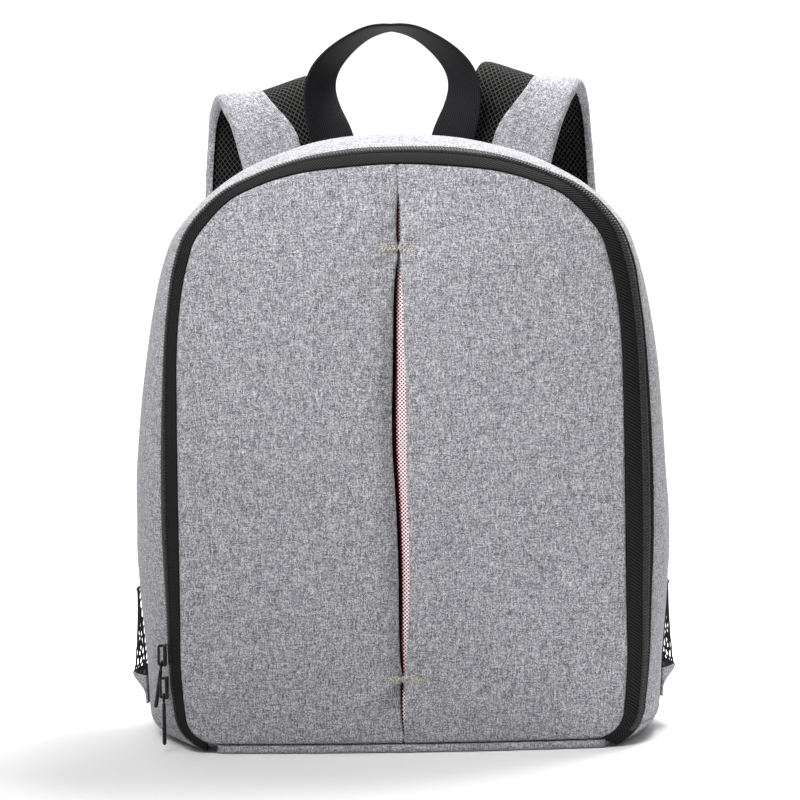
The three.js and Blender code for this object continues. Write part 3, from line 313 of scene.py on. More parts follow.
class Surface:
    """Collects the grids and caps of one piece and makes its Blender mesh."""

    def __init__(self, name: str) -> None:
        """Starts an empty piece of that name."""
        self.name = name
        self.points: list[Array] = []
        self.faces: list[Array] = []
        self.places: list[Array] = []
        self.count = 0

    def grid(self, points: Array, uv: Array | None = None, wrapped: bool = False) -> Array:
        """Adds a grid of four-sided faces.

        Args:
            points: Grid of shape (rows, columns, 3) in millimetres.
            uv: Places in metres, with one more column where the grid is wrapped.
            wrapped: Whether the last column joins the first.

        Returns:
            The numbers of the grid's points, shape (rows, columns).
        """
        rows, columns = points.shape[:2]
        numbers = np.arange(rows * columns).reshape(rows, columns) + self.count
        wide = np.concatenate([numbers, numbers[:, :1]], axis=1) if wrapped else numbers
        if uv is None:
            uv = np.zeros((rows, wide.shape[1], 2))
        corners = [wide[:-1, :-1], wide[:-1, 1:], wide[1:, 1:], wide[1:, :-1]]
        spots = [uv[:-1, :-1], uv[:-1, 1:], uv[1:, 1:], uv[1:, :-1]]
        self.faces.append(np.stack(corners, axis=-1).reshape(-1, 4))
        self.places.append(np.stack(spots, axis=-2).reshape(-1, 4, 2))
        self.points.append(points.reshape(-1, 3))
        self.count += rows * columns
        return numbers

    def strip(self, first: Array, second: Array) -> None:
        """Joins two rows of point numbers of the same length with faces."""
        faces = np.stack([first[:-1], first[1:], second[1:], second[:-1]], axis=-1)
        self.faces.append(faces)
        self.places.append(np.zeros((len(faces), 4, 2)))

    def fan(self, numbers: Array) -> None:
        """Closes a ring of point numbers with triangles that all start at its first one."""
        others = np.stack([numbers[1:-1], numbers[2:]], axis=-1)
        first = np.full((len(others), 1), numbers[0])
        faces = np.concatenate([first, others, np.full((len(others), 1), -1)], axis=1)
        self.faces.append(faces)
        self.places.append(np.zeros((len(faces), 4, 2)))

    def tube(self, loops: Array) -> None:
        """Adds closed loops along a path and closes both ends with fans."""
        numbers = self.grid(loops, loop_uv(loops), wrapped=True)
        self.fan(numbers[0][::-1])
        self.fan(numbers[-1])

    def ring(self, loops: Array) -> None:
        """Adds closed loops along a path whose end joins its start."""
        numbers = self.grid(loops, loop_uv(loops), wrapped=True)
        self.strip(np.append(numbers[-1], numbers[-1][0]), np.append(numbers[0], numbers[0][0]))

    def wall(self, outer: Array, normals: Array, thickness: Array | float) -> None:
        """Adds a wall with half-round edges and closes its two ends with strips."""
        loops = walled(outer, normals, thickness)
        numbers = self.grid(loops, loop_uv(loops), wrapped=True)
        columns = outer.shape[1]
        back_start = columns + ARC_STEPS
        for row, turned in ((numbers[0], True), (numbers[-1], False)):
            face, back = row[:columns], row[back_start:back_start + columns][::-1]
            end = row[columns - 1:back_start + 1]
            start = np.append(row[back_start + columns - 1:], row[0])
            self.strip(*((back, face) if turned else (face, back)))
            self.fan(end[::-1] if turned else end)
            self.fan(start[::-1] if turned else start)

    def repeat(self, shape: Array, faces: Array, origins: Array, axes: Array) -> None:
        """Adds the same small shape at many places.

        Args:
            shape: Points of the shape in its own axes, shape (k, 3).
            faces: Its faces as point numbers, shape (f, 4), with -1 for no fourth corner.
            origins: Places, shape (n, 3).
            axes: The shape's three axes at each place, shape (n, 3, 3).
        """
        placed = origins[:, None] + np.einsum("ki,nij->nkj", shape, axes)
        offsets = (np.arange(len(origins)) * len(shape) + self.count)[:, None, None]
        all_faces = np.where(faces[None] < 0, -1, faces[None] + offsets).reshape(-1, 4)
        self.faces.append(all_faces)
        self.places.append(np.zeros((len(all_faces), 4, 2)))
        self.points.append(placed.reshape(-1, 3))
        self.count += placed.shape[0] * placed.shape[1]

    def build(self, finish: Material) -> Piece:
        """Makes the Blender object, with its faces turned outwards and shaded smooth.

        Args:
            finish: The material of the whole piece.

        Returns:
            The new object, at the origin.
        """
        points = np.concatenate(self.points) * MM
        faces = np.concatenate(self.faces).astype(np.int64)
        places = np.concatenate(self.places)
        a, b, c = points[faces[:, 0]], points[faces[:, 1]], points[faces[:, 2]]
        d = points[np.where(faces[:, 3] < 0, faces[:, 0], faces[:, 3])]
        volume = (np.cross(a, b) * c).sum() + (np.cross(a, c) * d).sum()
        used = faces >= 0
        if volume < 0:
            used = used[:, ::-1]
            faces = faces[:, ::-1]
            places = places[:, ::-1]
        mesh = bpy.data.meshes.new(self.name)
        mesh.vertices.add(len(points))
        mesh.vertices.foreach_set("co", points.astype(np.float32).ravel())
        totals = used.sum(1)
        mesh.loops.add(int(totals.sum()))
        mesh.loops.foreach_set("vertex_index", faces[used].astype(np.int32))
        mesh.polygons.add(len(faces))
        mesh.polygons.foreach_set("loop_start", (np.cumsum(totals) - totals).astype(np.int32))
        mesh.polygons.foreach_set("loop_total", totals.astype(np.int32))
        layer = mesh.uv_layers.new(name="cloth")
        layer.data.foreach_set("uv", places[used].astype(np.float32).ravel())
        mesh.update(calc_edges=True)
        mesh.validate()
        mesh.polygons.foreach_set("use_smooth", np.ones(len(mesh.polygons), bool))
        mesh.materials.append(finish)
        piece = bpy.data.objects.new(self.name, mesh)
        bpy.context.scene.collection.objects.link(piece)
        return piece


def settle(piece: Piece, nodes: tuple[str, ...] = (), body: str = "bag") -> None:
    """Gives a finished piece its body and hides the CAD nodes that it stands for.

    Args:
        piece: The Blender object.
        nodes: CAD nodes that it replaces.
        body: CAD body that it moves with.
    """
    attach(piece, body)
    if nodes:
        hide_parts(*nodes)
    LOG.info("%s: %d faces", piece.name, len(piece.data.polygons))


# Finishes

class Graph:
    """A material's nodes, with short ways to add and join them."""

    def __init__(self, name: str, roughness: float, metallic: float = 0.0) -> None:
        """Starts a material whose shader has these constants."""
        self.material = bpy.data.materials.new(name)
        self.material.use_nodes = True
        self.tree = self.material.node_tree
        self.shader = self.tree.nodes["Principled BSDF"]
        self.shader.inputs["Roughness"].default_value = roughness
        self.shader.inputs["Metallic"].default_value = metallic
        self.shader.inputs["Specular IOR Level"].default_value = 0.3

    def put(self, socket: Socket, value: object) -> None:
        """Links a socket to another one, or sets its constant."""
        if isinstance(value, Socket):
            self.tree.links.new(value, socket)
        else:
            socket.default_value = value

    def node(self, kind: str, inputs: dict, output: str | int = 0, **settings: object) -> Socket:
        """Adds a node.

        Args:
            kind: The kind's name without its ShaderNode.
            inputs: Its inputs' names or numbers, each with a constant or a socket.
            output: The wanted output.
            **settings: The node's own settings.

        Returns:
            The output's socket.
        """
        node = self.tree.nodes.new(f"ShaderNode{kind}")
        for name, value in settings.items():
            setattr(node, name, value)
        for name, value in inputs.items():
            self.put(node.inputs[name], value)
        return node.outputs[output]

    def cloth_place(self, across: float = 1.0, up: float = 1.0, turn: float = 0.0) -> Socket:
        """Place on the cloth in millimetres, stretched by a factor each way and turned by an angle.

        Args:
            across: Factor along the first direction of the cloth.
            up: Factor along the second direction.
            turn: Angle in radians.

        Returns:
            The place's socket.
        """
        source = self.node("UVMap", {}, "UV", uv_map="cloth")
        return self.mapped(source, (across / MM, up / MM, 1.0), turn)

    def solid_place(self, factor: float = 1.0) -> Socket:
        """Object coordinates in millimetres times a factor."""
        return self.mapped(self.node("TexCoord", {}, "Object"), (factor / MM,) * 3, 0.0)

    def attribute(self, name: str) -> Socket:
        """Value of a mesh's own point attribute."""
        return self.node("Attribute", {}, "Fac", attribute_name=name)

    def mapped(self, source: Socket, scale: tuple, turn: float) -> Socket:
        """A place stretched by a scale and turned about its third axis."""
        return self.node("Mapping", {"Vector": source, "Scale": scale, "Rotation": (0.0, 0.0, turn)})

    def noise(self, place: Socket, detail: float = 2.0) -> Socket:
        """Noise of one unit's size at a place."""
        inputs = {"Vector": place, "Scale": 1.0, "Detail": detail, "Roughness": 0.6}
        return self.node("TexNoise", inputs, "Fac")

    def flecks(self, place: Socket) -> Socket:
        """A random number from 0 to 1 for each whole step of a place."""
        stepped = self.node("VectorMath", {0: place}, "Vector", operation="FLOOR")
        return self.node("TexWhiteNoise", {"Vector": stepped}, "Value")

    def yarns(self, place: Socket, first: str, second: str, slub: float) -> Socket:
        """Noise that is new for each whole step across, and runs on along a yarn for about a slub's length.

        Args:
            place: Place in yarn widths.
            first: Axis across the yarns, X or Y.
            second: Axis along them.
            slub: Length of a slub in yarn widths.

        Returns:
            The noise's socket.
        """
        split = self.tree.nodes.new("ShaderNodeSeparateXYZ")
        self.put(split.inputs[0], place)
        number = self.math("FLOOR", split.outputs[first])
        apart = self.math("MULTIPLY", number, 3.731)
        along = self.math("DIVIDE", split.outputs[second], slub)
        return self.noise(self.node("CombineXYZ", {"X": apart, "Y": along}), detail=1.0)

    def cells(self, place: Socket, feature: str = "F1", uneven: float = 1.0) -> Socket:
        """Distance to the nearest cell's middle, or to its edge, at a place."""
        inputs = {"Vector": place, "Scale": 1.0, "Randomness": uneven}
        return self.node("TexVoronoi", inputs, "Distance", feature=feature)

    def waves(self, place: Socket, direction: str, size: float) -> Socket:
        """Even sine bands from 0 to 1 across one direction of a place, one band for each size."""
        inputs = {"Vector": place, "Scale": 2 * np.pi / (20.0 * size), "Distortion": 0.0}
        return self.node("TexWave", inputs, "Fac", wave_type="BANDS", bands_direction=direction)

    def math(self, operation: str, first: object, second: object = 0.0) -> Socket:
        """Result of a math operation on two numbers or sockets."""
        return self.node("Math", {0: first, 1: second}, "Value", operation=operation)

    def blend(self, shares: list[tuple[Socket, float]]) -> Socket:
        """Sum of sockets, each times its share."""
        total = None
        for source, share in shares:
            part = self.math("MULTIPLY", source, share)
            total = part if total is None else self.math("ADD", total, part)
        return total

    def ramp(self, source: Socket, stops: list[tuple[float, tuple]]) -> Socket:
        """Colour that runs through stops, each a share and a linear colour."""
        node = self.tree.nodes.new("ShaderNodeValToRGB")
        points = node.color_ramp.elements
        while len(points) < len(stops):
            points.new(0.5)
        for point, (share, colour) in zip(points, stops):
            point.position = share
            point.color = (*colour, 1.0)
        self.put(node.inputs["Fac"], source)
        return node.outputs["Color"]

    def colour(self, value: object) -> None:
        """Sets the shader's base colour, a socket or a linear colour."""
        wanted = value if isinstance(value, Socket) else (*value, 1.0)
        self.put(self.shader.inputs["Base Color"], wanted)

    def bump(self, height: Socket, depth: float) -> None:
        """Raises the surface by a height from 0 to 1, times a depth in millimetres."""
        normal = self.node("Bump", {"Distance": depth * MM, "Strength": 1.0, "Height": height}, "Normal")
        self.put(self.shader.inputs["Normal"], normal)

    def shine(self, level: float) -> None:
        """Sets how strongly the surface mirrors at a steep angle."""
        self.shader.inputs["Specular IOR Level"].default_value = level

    def sheen(self, weight: float, roughness: float) -> None:
        """Sets the soft sheen of fibres on the shader's own sockets."""
        self.shader.inputs["Sheen Weight"].default_value = weight
        self.shader.inputs["Sheen Roughness"].default_value = roughness


@dataclass(frozen=True)
class HeatheredCloth:
    """Grey woven polyester whose yarns run light and dark in both directions, with single flecks."""

    name: str = "heathered_cloth"
    dark: tuple = (0.070, 0.071, 0.078)
    middle: tuple = (0.290, 0.288, 0.310)
    light: tuple = (0.62, 0.615, 0.645)
    yarn: float = 0.53
    slub: float = 13.0
    warp_share: float = 0.38
    weft_share: float = 0.31
    fleck_share: float = 0.31
    cloud_share: float = 0.03
    stops: tuple = (0.30, 0.525, 0.745)
    depth: float = 0.3

    def material(self) -> Material:
        """Warp yarns, weft yarns and flecks drive the colour, and a plain weave joins them in the bump."""
        graph = Graph(self.name, roughness=0.92)
        place = graph.cloth_place(1 / self.yarn, 1 / self.yarn)
        warp = graph.yarns(place, "X", "Y", self.slub)
        weft = graph.yarns(place, "Y", "X", self.slub)
        fleck = graph.flecks(place)
        clouds = graph.noise(graph.cloth_place(0.03, 0.03), detail=2.0)
        fibre = graph.blend([(warp, self.warp_share), (weft, self.weft_share), (fleck, self.fleck_share)])
        level = graph.blend([(fibre, 1.0), (clouds, self.cloud_share)])
        graph.colour(graph.ramp(level, list(zip(self.stops, (self.dark, self.middle, self.light)))))
        millimetres = graph.cloth_place()
        over = graph.waves(millimetres, "X", self.yarn * 2)
        under = graph.waves(millimetres, "Y", self.yarn * 2)
        weave = graph.math("MULTIPLY", over, under)
        graph.bump(graph.blend([(weave, 0.4), (fibre, 1.0)]), self.depth)
        graph.sheen(0.12, 0.5)
        return graph.material


@dataclass(frozen=True)
class BlackTape:
    """Black twill tape of a zip."""

    name: str = "black_zip_tape"
    base: tuple = (0.003, 0.003, 0.0032)
    light: tuple = (0.026, 0.026, 0.027)
    rib: float = 1.5

    def material(self) -> Material:
        """Slanting twill ribs with a fine noise in them."""
        graph = Graph(self.name, roughness=0.78)
        place = graph.cloth_place(turn=0.9)
        ribs = graph.waves(place, "X", self.rib)
        grain = graph.noise(graph.cloth_place(1.6, 1.6), detail=2.0)
        level = graph.blend([(ribs, 0.6), (grain, 0.5)])
        graph.colour(graph.ramp(level, [(0.35, self.base), (0.85, self.light)]))
        graph.bump(level, depth=0.35)
        graph.shine(0.1)
        return graph.material


@dataclass(frozen=True)
class FineGrain:
    """Plain black or khaki with a fine unevenness in its colour and its height."""

    name: str
    base: tuple
    light: tuple
    roughness: float
    fineness: float
    depth: float
    stops: tuple = (0.3, 0.7)
    detail: float = 2.0
    gloss: float = 0.3

    def material(self) -> Material:
        """One noise runs the colour from base to light and lifts the surface."""
        graph = Graph(self.name, self.roughness)
        grain = graph.noise(graph.solid_place(self.fineness), self.detail)
        graph.colour(graph.ramp(grain, list(zip(self.stops, (self.base, self.light)))))
        graph.bump(grain, self.depth)
        graph.shine(self.gloss)
        return graph.material


@dataclass(frozen=True)
class CoilNylon(FineGrain):
    """Black nylon of the zip's coil, a little glossier than its tape."""

    name: str = "black_coil_nylon"
    base: tuple = (0.014, 0.014, 0.0145)
    light: tuple = (0.04, 0.04, 0.041)
    roughness: float = 0.42
    fineness: float = 0.8
    depth: float = 0.06


@dataclass(frozen=True)
class NetYarn(FineGrain):
    """Black yarn of the side pockets' net, with fine fibres."""

    name: str = "black_net_yarn"
    base: tuple = (0.008, 0.008, 0.009)
    light: tuple = (0.022, 0.022, 0.023)
    roughness: float = 0.7
    fineness: float = 2.5
    depth: float = 0.12
    gloss: float = 0.12


@dataclass(frozen=True)
class TackThread(FineGrain):
    """Khaki thread of the two bar tacks, lighter where it twists."""

    name: str = "khaki_thread"
    base: tuple = (0.20, 0.17, 0.11)
    light: tuple = (0.72, 0.67, 0.52)
    roughness: float = 0.7
    fineness: float = 2.0
    depth: float = 0.1
    stops: tuple = (0.35, 0.65)
    detail: float = 1.0


@dataclass(frozen=True)
class AirMesh:
    """Black spacer mesh with diamond cells, a little longer than they are wide."""

    name: str = "black_air_mesh"
    hole: tuple = (0.0012, 0.0012, 0.0014)
    strand: tuple = (0.080, 0.079, 0.075)
    pitch: float = 2.1
    stretch: float = 0.74
    cell_fullness: float = 3.2
    fibre_share: float = 0.25
    stops: tuple = (0.28, 0.50)
    depth: float = 0.9

    def material(self) -> Material:
        """Raised strands round each cell, where the distance to the cell's edge is small."""
        graph = Graph(self.name, roughness=0.85)
        place = graph.cloth_place(1 / self.pitch, self.stretch / self.pitch, turn=np.pi / 4)
        edge = graph.cells(place, "DISTANCE_TO_EDGE", uneven=0.12)
        fibre = graph.noise(graph.cloth_place(2.2, 2.2), detail=2.0)
        hollow = graph.math("MULTIPLY", edge, self.cell_fullness)
        level = graph.blend([(hollow, 1.0), (fibre, self.fibre_share)])
        graph.colour(graph.ramp(level, list(zip(self.stops, (self.strand, self.hole)))))
        rise = graph.math("SUBTRACT", 1.0, hollow)
        graph.bump(graph.blend([(graph.math("MAXIMUM", rise, 0.0), 1.0), (fibre, 0.12)]), self.depth)
        graph.shine(0.1)
        return graph.material


@dataclass(frozen=True)
class RibbedWebbing:
    """Black webbing with ribs along its length and fine cross threads."""

    name: str = "black_webbing"
    base: tuple = (0.004, 0.004, 0.0046)
    light: tuple = (0.021, 0.021, 0.024)
    rib: float = 1.35
    thread: float = 0.8

    def material(self) -> Material:
        """Ribs across the width times cross threads along the length, with noise in both."""
        graph = Graph(self.name, roughness=0.62)
        place = graph.cloth_place()
        ribs = graph.waves(place, "X", self.rib)
        threads = graph.waves(place, "Y", self.thread)
        grain = graph.noise(graph.cloth_place(1.4, 0.9), detail=2.0)
        level = graph.blend([(ribs, 0.5), (threads, 0.25), (grain, 0.35)])
        graph.colour(graph.ramp(level, [(0.3, self.base), (0.85, self.light)]))
        graph.bump(level, depth=0.35)
        graph.shine(0.1)
        return graph.material


@dataclass(frozen=True)
class PinkTwill:
    """Fine weave of nearly white pink and red threads, darkened by painted shade where it lies under the left
    flap.
    """

    name: str = "pink_twill"
    red: tuple = (0.36, 0.01, 0.03)
    pink: tuple = (1.0, 0.93, 0.94)
    # painted shade: near-black colour that stands in for the shadow under the left flap
    hidden: tuple = (0.012, 0.002, 0.003)
    rib: float = 1.5
    slant: float = 0.78
    stops: tuple = (0.02, 0.44, 0.58)
    depth: float = 0.2

    def material(self) -> Material:
        """Two sets of slanting ribs cross, red shows where both are low, and painted shade from the fold
        attribute darkens all of it under the left flap.
        """
        graph = Graph(self.name, roughness=0.8)
        ribs = graph.waves(graph.cloth_place(turn=self.slant), "X", self.rib)
        cross = graph.waves(graph.cloth_place(turn=-self.slant), "X", self.rib)
        grain = graph.noise(graph.cloth_place(1.5, 1.5), detail=1.0)
        level = graph.blend([(ribs, 0.5), (cross, 0.5), (grain, 0.1)])
        # painted shade: the fold attribute pulls the level down towards the painted shade colour under the
        # left flap
        shaded = graph.math("SUBTRACT", level, graph.attribute("fold"))
        graph.colour(graph.ramp(shaded, list(zip(self.stops, (self.hidden, self.red, self.pink)))))
        graph.bump(level, self.depth)
        return graph.material


@dataclass(frozen=True)
class PaintedMetal:
    """Satin black paint on cast metal, a little rubbed."""

    name: str = "black_painted_metal"
    base: tuple = (0.008, 0.008, 0.009)
    rubbed: tuple = (0.03, 0.03, 0.031)

    def material(self) -> Material:
        """Slow noise lightens the paint where it is rubbed, and fine noise pits it."""
        graph = Graph(self.name, roughness=0.34, metallic=0.35)
        wear = graph.noise(graph.solid_place(0.5), detail=3.0)
        grain = graph.noise(graph.solid_place(3.0), detail=1.0)
        graph.colour(graph.ramp(wear, [(0.45, self.base), (0.7, self.rubbed)]))
        graph.bump(grain, depth=0.04)
        return graph.material


@dataclass(frozen=True)
class GrainedPlastic:
    """Black moulded plastic with a fine grain."""

    name: str = "black_plastic"
    base: tuple = (0.013, 0.013, 0.014)
    light: tuple = (0.024, 0.024, 0.025)

    def material(self) -> Material:
        """Small cells give the moulded grain."""
        graph = Graph(self.name, roughness=0.5)
        grain = graph.cells(graph.solid_place(1.6))
        graph.colour(graph.ramp(grain, [(0.2, self.base), (0.8, self.light)]))
        graph.bump(grain, depth=0.05)
        return graph.material


@dataclass
class Finishes:
    """All the bag's materials, made once."""

    cloth: Material = field(default_factory=HeatheredCloth().material)
    tape: Material = field(default_factory=BlackTape().material)
    coil: Material = field(default_factory=CoilNylon().material)
    air_mesh: Material = field(default_factory=AirMesh().material)
    net: Material = field(default_factory=NetYarn().material)
    webbing: Material = field(default_factory=RibbedWebbing().material)
    lining: Material = field(default_factory=PinkTwill().material)
    metal: Material = field(default_factory=PaintedMetal().material)
    plastic: Material = field(default_factory=GrainedPlastic().material)
    thread: Material = field(default_factory=TackThread().material)


# Form of the body

@dataclass(frozen=True)
class OutlineRow:
    """One step of the side outline, as shares of half the width and of the height."""

    panel_out: float
    panel_up: float
    rim_out: float
    rim_up: float
    side_out: float
    side_up: float


OUTLINE_ROWS = (
    OutlineRow(1.000, 0.137, 0.973, 0.135, 0.969, 0.131),
    OutlineRow(1.000, 0.249, 0.986, 0.247, 0.990, 0.238),
    OutlineRow(1.000, 0.364, 0.998, 0.353, 1.000, 0.335),
    OutlineRow(1.000, 0.485, 0.997, 0.476, 0.992, 0.454),
    OutlineRow(0.998, 0.592, 0.988, 0.582, 0.970, 0.556),
    OutlineRow(0.994, 0.683, 0.974, 0.676, 0.945, 0.642),
    OutlineRow(0.978, 0.758, 0.954, 0.747, 0.918, 0.710),
    OutlineRow(0.944, 0.828, 0.926, 0.815, 0.877, 0.785),
    OutlineRow(0.901, 0.877, 0.876, 0.866, 0.834, 0.833),
    OutlineRow(0.833, 0.910, 0.806, 0.902, 0.767, 0.870),
    OutlineRow(0.738, 0.944, 0.711, 0.933, 0.685, 0.908),
    OutlineRow(0.619, 0.966, 0.600, 0.955, 0.583, 0.942),
    OutlineRow(0.452, 0.985, 0.443, 0.979, 0.431, 0.972),
    OutlineRow(0.238, 0.995, 0.236, 0.996, 0.241, 0.994),
    OutlineRow(0.000, 1.000, 0.000, 1.000, 0.000, 1.000),
)


@dataclass(frozen=True)
class BodyRow:
    """One section of the body, as shares of the side's depth, flare and rise."""

    back: float
    flare: float
    rise: float


BODY_ROWS = (
    BodyRow(0.00, 0.00, 0.00),
    BodyRow(0.24, 0.68, 0.55),
    BodyRow(0.48, 1.00, 0.88),
    BodyRow(0.76, 0.70, 1.00),
    BodyRow(1.00, 0.42, 0.82),
)


@dataclass
class BodyForm:
    """Outer form of the bag's body, as a function of a place round the arch and of a depth.

    A place is a share of the arch from the left end of the bottom, over the top, to its right end.
    """

    depth: float = 140.0
    side_flare: float = 16.5
    top_rise: float = 12.3
    corner: float = 16.0
    base_thickness: float = 4.7
    back_thickness: float = 8.0
    panel_width: float = 252.0
    panel_top: float = 329.6
    panel_corner: float = 17.0
    pillow: float = 5.0
    crown: float = 8.0
    zip_flare: float = 14.0
    zip_rise: float = 10.4
    zip_depth: float = 14.0
    rim_corner: float = 25.0
    rim_crown: float = 6.0
    rim_shift: float = 3.4
    rim_seat: float = 3.0
    seam_gap: float = 0.3
    panel_foot_out: float = 0.984
    rim_foot_out: float = 0.957
    side_foot_out: float = 0.957
    corner_angles: Array = field(default_factory=lambda: np.radians(np.arange(0, 91, 15)))
    low_knot: int = 3
    high_knot: int = 16

    def __post_init__(self) -> None:
        """Works out the levels and the knots that the sizes give."""
        self.back_face = self.depth / 2
        self.panel_edge = -self.depth / 2 + self.pillow
        self.rim_y = self.panel_edge + self.zip_depth
        self.side_end = self.back_face - self.back_thickness - self.seam_gap
        self.rim_half = self.panel_width / 2 + self.zip_flare
        self.rim_top = self.panel_top + self.zip_rise
        self.body_top = self.rim_top + self.top_rise
        self.panel_foot = self.base_thickness + self.seam_gap
        self.table = np.array([astuple(row) for row in OUTLINE_ROWS])
        self.rings = np.array([astuple(row) for row in BODY_ROWS])
        self.widest = self.rings[self.rings[:, 1].argmax(), 0]
        corners = self.arch_corners(
            self.panel_width / 2, self.panel_top, self.panel_foot, self.panel_corner,
            self.panel_foot_out, self.table[:, 0], self.table[:, 1],
        )
        lengths = chord_places(corners)
        self.knots = lengths / lengths[-1]
        self.panel_corners = corners

    def arch_corners(
        self, half: float, top: float, foot: float, corner: float, foot_out: float,
        outs: Array, ups: Array, shift: float = 0.0,
    ) -> Array:
        """The arch's own points in the plane of X and Z.

        Each half runs through a quarter circle at the bottom corner, then through the rows of shares.

        Args:
            half: Half of the width.
            top: Height of the top.
            foot: Height of the bottom.
            corner: Radius of the bottom corner.
            foot_out: Share of the half width at the corner's outside.
            outs: Shares of the half width, one for each row.
            ups: Shares of the height, one for each row.
            shift: Distance by which the whole arch lies to the right.

        Returns:
            Points of shape (2 * rows - 1, 2).
        """
        middle = half * foot_out - corner
        x = np.concatenate([middle + corner * np.sin(self.corner_angles), half * outs])
        z = np.concatenate([foot + corner * (1 - np.cos(self.corner_angles)), top * ups])
        whole_x = np.concatenate([shift - x, shift + x[-2::-1]])
        return np.stack([whole_x, np.concatenate([z, z[-2::-1]])], axis=1)

    def panel_arch(self, places: Array) -> Array:
        """Edge of the front panel at places round the arch, shape (n, 2)."""
        return smooth_through(self.knots, self.panel_corners, places)

    def edge_depth(self, x: Array) -> Array:
        """Depth of the panel's edge, which bows back with the square of the distance from the middle."""
        return self.panel_edge + self.crown * (x / (self.panel_width / 2)) ** 2

    def corner_share(self, places: Array) -> Array:
        """How far up its bottom corner a place lies, from 0 on the flat to 1 on the side."""
        from_end = np.minimum(places, 1 - places)
        corner_knots = len(self.corner_angles)
        return np.interp(from_end, self.knots[:corner_knots], np.linspace(0, 1, corner_knots))

    def fill_arch(self, line: Array, steps: int, across: Array, up: Array) -> Array:
        """Fills an arch and its bottom with a grid, whose corners lie at two low and two high knots.

        Args:
            line: The arch at even places from 0 to 1, shape (n, 2).
            steps: Points on each border.
            across: Shares from left to right.
            up: Shares from the bottom up.

        Returns:
            A grid of shape (len(up), len(across), 2).
        """
        places = np.linspace(0, 1, len(line))
        last = len(self.knots) - 1
        low, high = self.low_knot, self.high_knot

        def stretch(first: int, final: int) -> Array:
            """The line from one knot to another."""
            fine = np.linspace(self.knots[first], self.knots[final], steps)
            return np.stack([np.interp(fine, places, line[:, k]) for k in range(2)], axis=1)

        bottom = np.concatenate([stretch(0, low)[::-1], stretch(last - low, last)[::-1]])
        right = stretch(last - high, last - low)[::-1]
        return fill_borders(stretch(low, high), right, bottom, stretch(high, last - high), across, up)

    def section(self, back: float, places: Array) -> Array:
        """One section of the body.

        Its form passes from the rim's to the widest section's over the front part of the side.

        Args:
            back: Share of the side's depth, from 0 at the zip to 1 at the back.
            places: Places round the arch.

        Returns:
            Points of shape (n, 3).
        """
        at = np.array([back])
        flare = smooth_through(self.rings[:, 0], self.rings[:, 1:2], at)[0, 0]
        rise = smooth_through(self.rings[:, 0], self.rings[:, 2:3], at)[0, 0]
        widest = min(back / self.widest, 1.0)
        half = self.rim_half + self.side_flare * flare
        outs = self.table[:, 2] * (1 - widest) + self.table[:, 4] * widest
        ups = self.table[:, 3] * (1 - widest) + self.table[:, 5] * widest
        corners = self.arch_corners(
            half, self.rim_top + self.top_rise * rise, 0.0,
            self.rim_corner * (1 - widest) + self.corner * widest,
            self.rim_foot_out * (1 - widest) + self.side_foot_out * widest,
            outs, ups, self.rim_shift * (1 - widest),
        )
        line = smooth_through(self.knots, corners, places)
        level = self.rim_y + (self.side_end - self.rim_y) * back
        y = level + self.rim_crown * (1 - back) ** 2 * (line[:, 0] / half) ** 2
        front = self.rim_y + self.rim_crown * (line[:, 0] / half) ** 2
        seat = self.edge_depth(self.panel_arch(places)[:, 0]) + self.rim_seat
        low = (seat - front) * (1 - eased(self.corner_share(places)))
        y = y + low * max(0.0, 1 - back / self.rings[1, 0])
        return np.stack([line[:, 0], y, line[:, 1]], axis=1)

    def side(self, places: Array, backs: Array) -> Array:
        """Grid of the body's outer face, shape (places, backs, 3)."""
        return np.stack([self.section(float(back), places) for back in backs], axis=1)

    def side_at(self, side: Side, y: Array, z: Array) -> Array:
        """Distance of the body's outside from the middle plane, at depths and heights low on the side.

        Args:
            side: Left or right.
            y: Depths, shape (columns,).
            z: Heights, shape (rows,).

        Returns:
            Distances of shape (rows, columns).
        """
        places = np.linspace(0.0, 0.5, 400)
        places = places if side is Side.LEFT else 1 - places
        lines = []
        for depth in y:
            back = (depth - self.rim_y) / (self.side_end - self.rim_y)
            line = self.section(float(back), places)
            lines.append(np.interp(z, line[:, 2], np.abs(line[:, 0])))
        return np.stack(lines, axis=1)


# Front panel

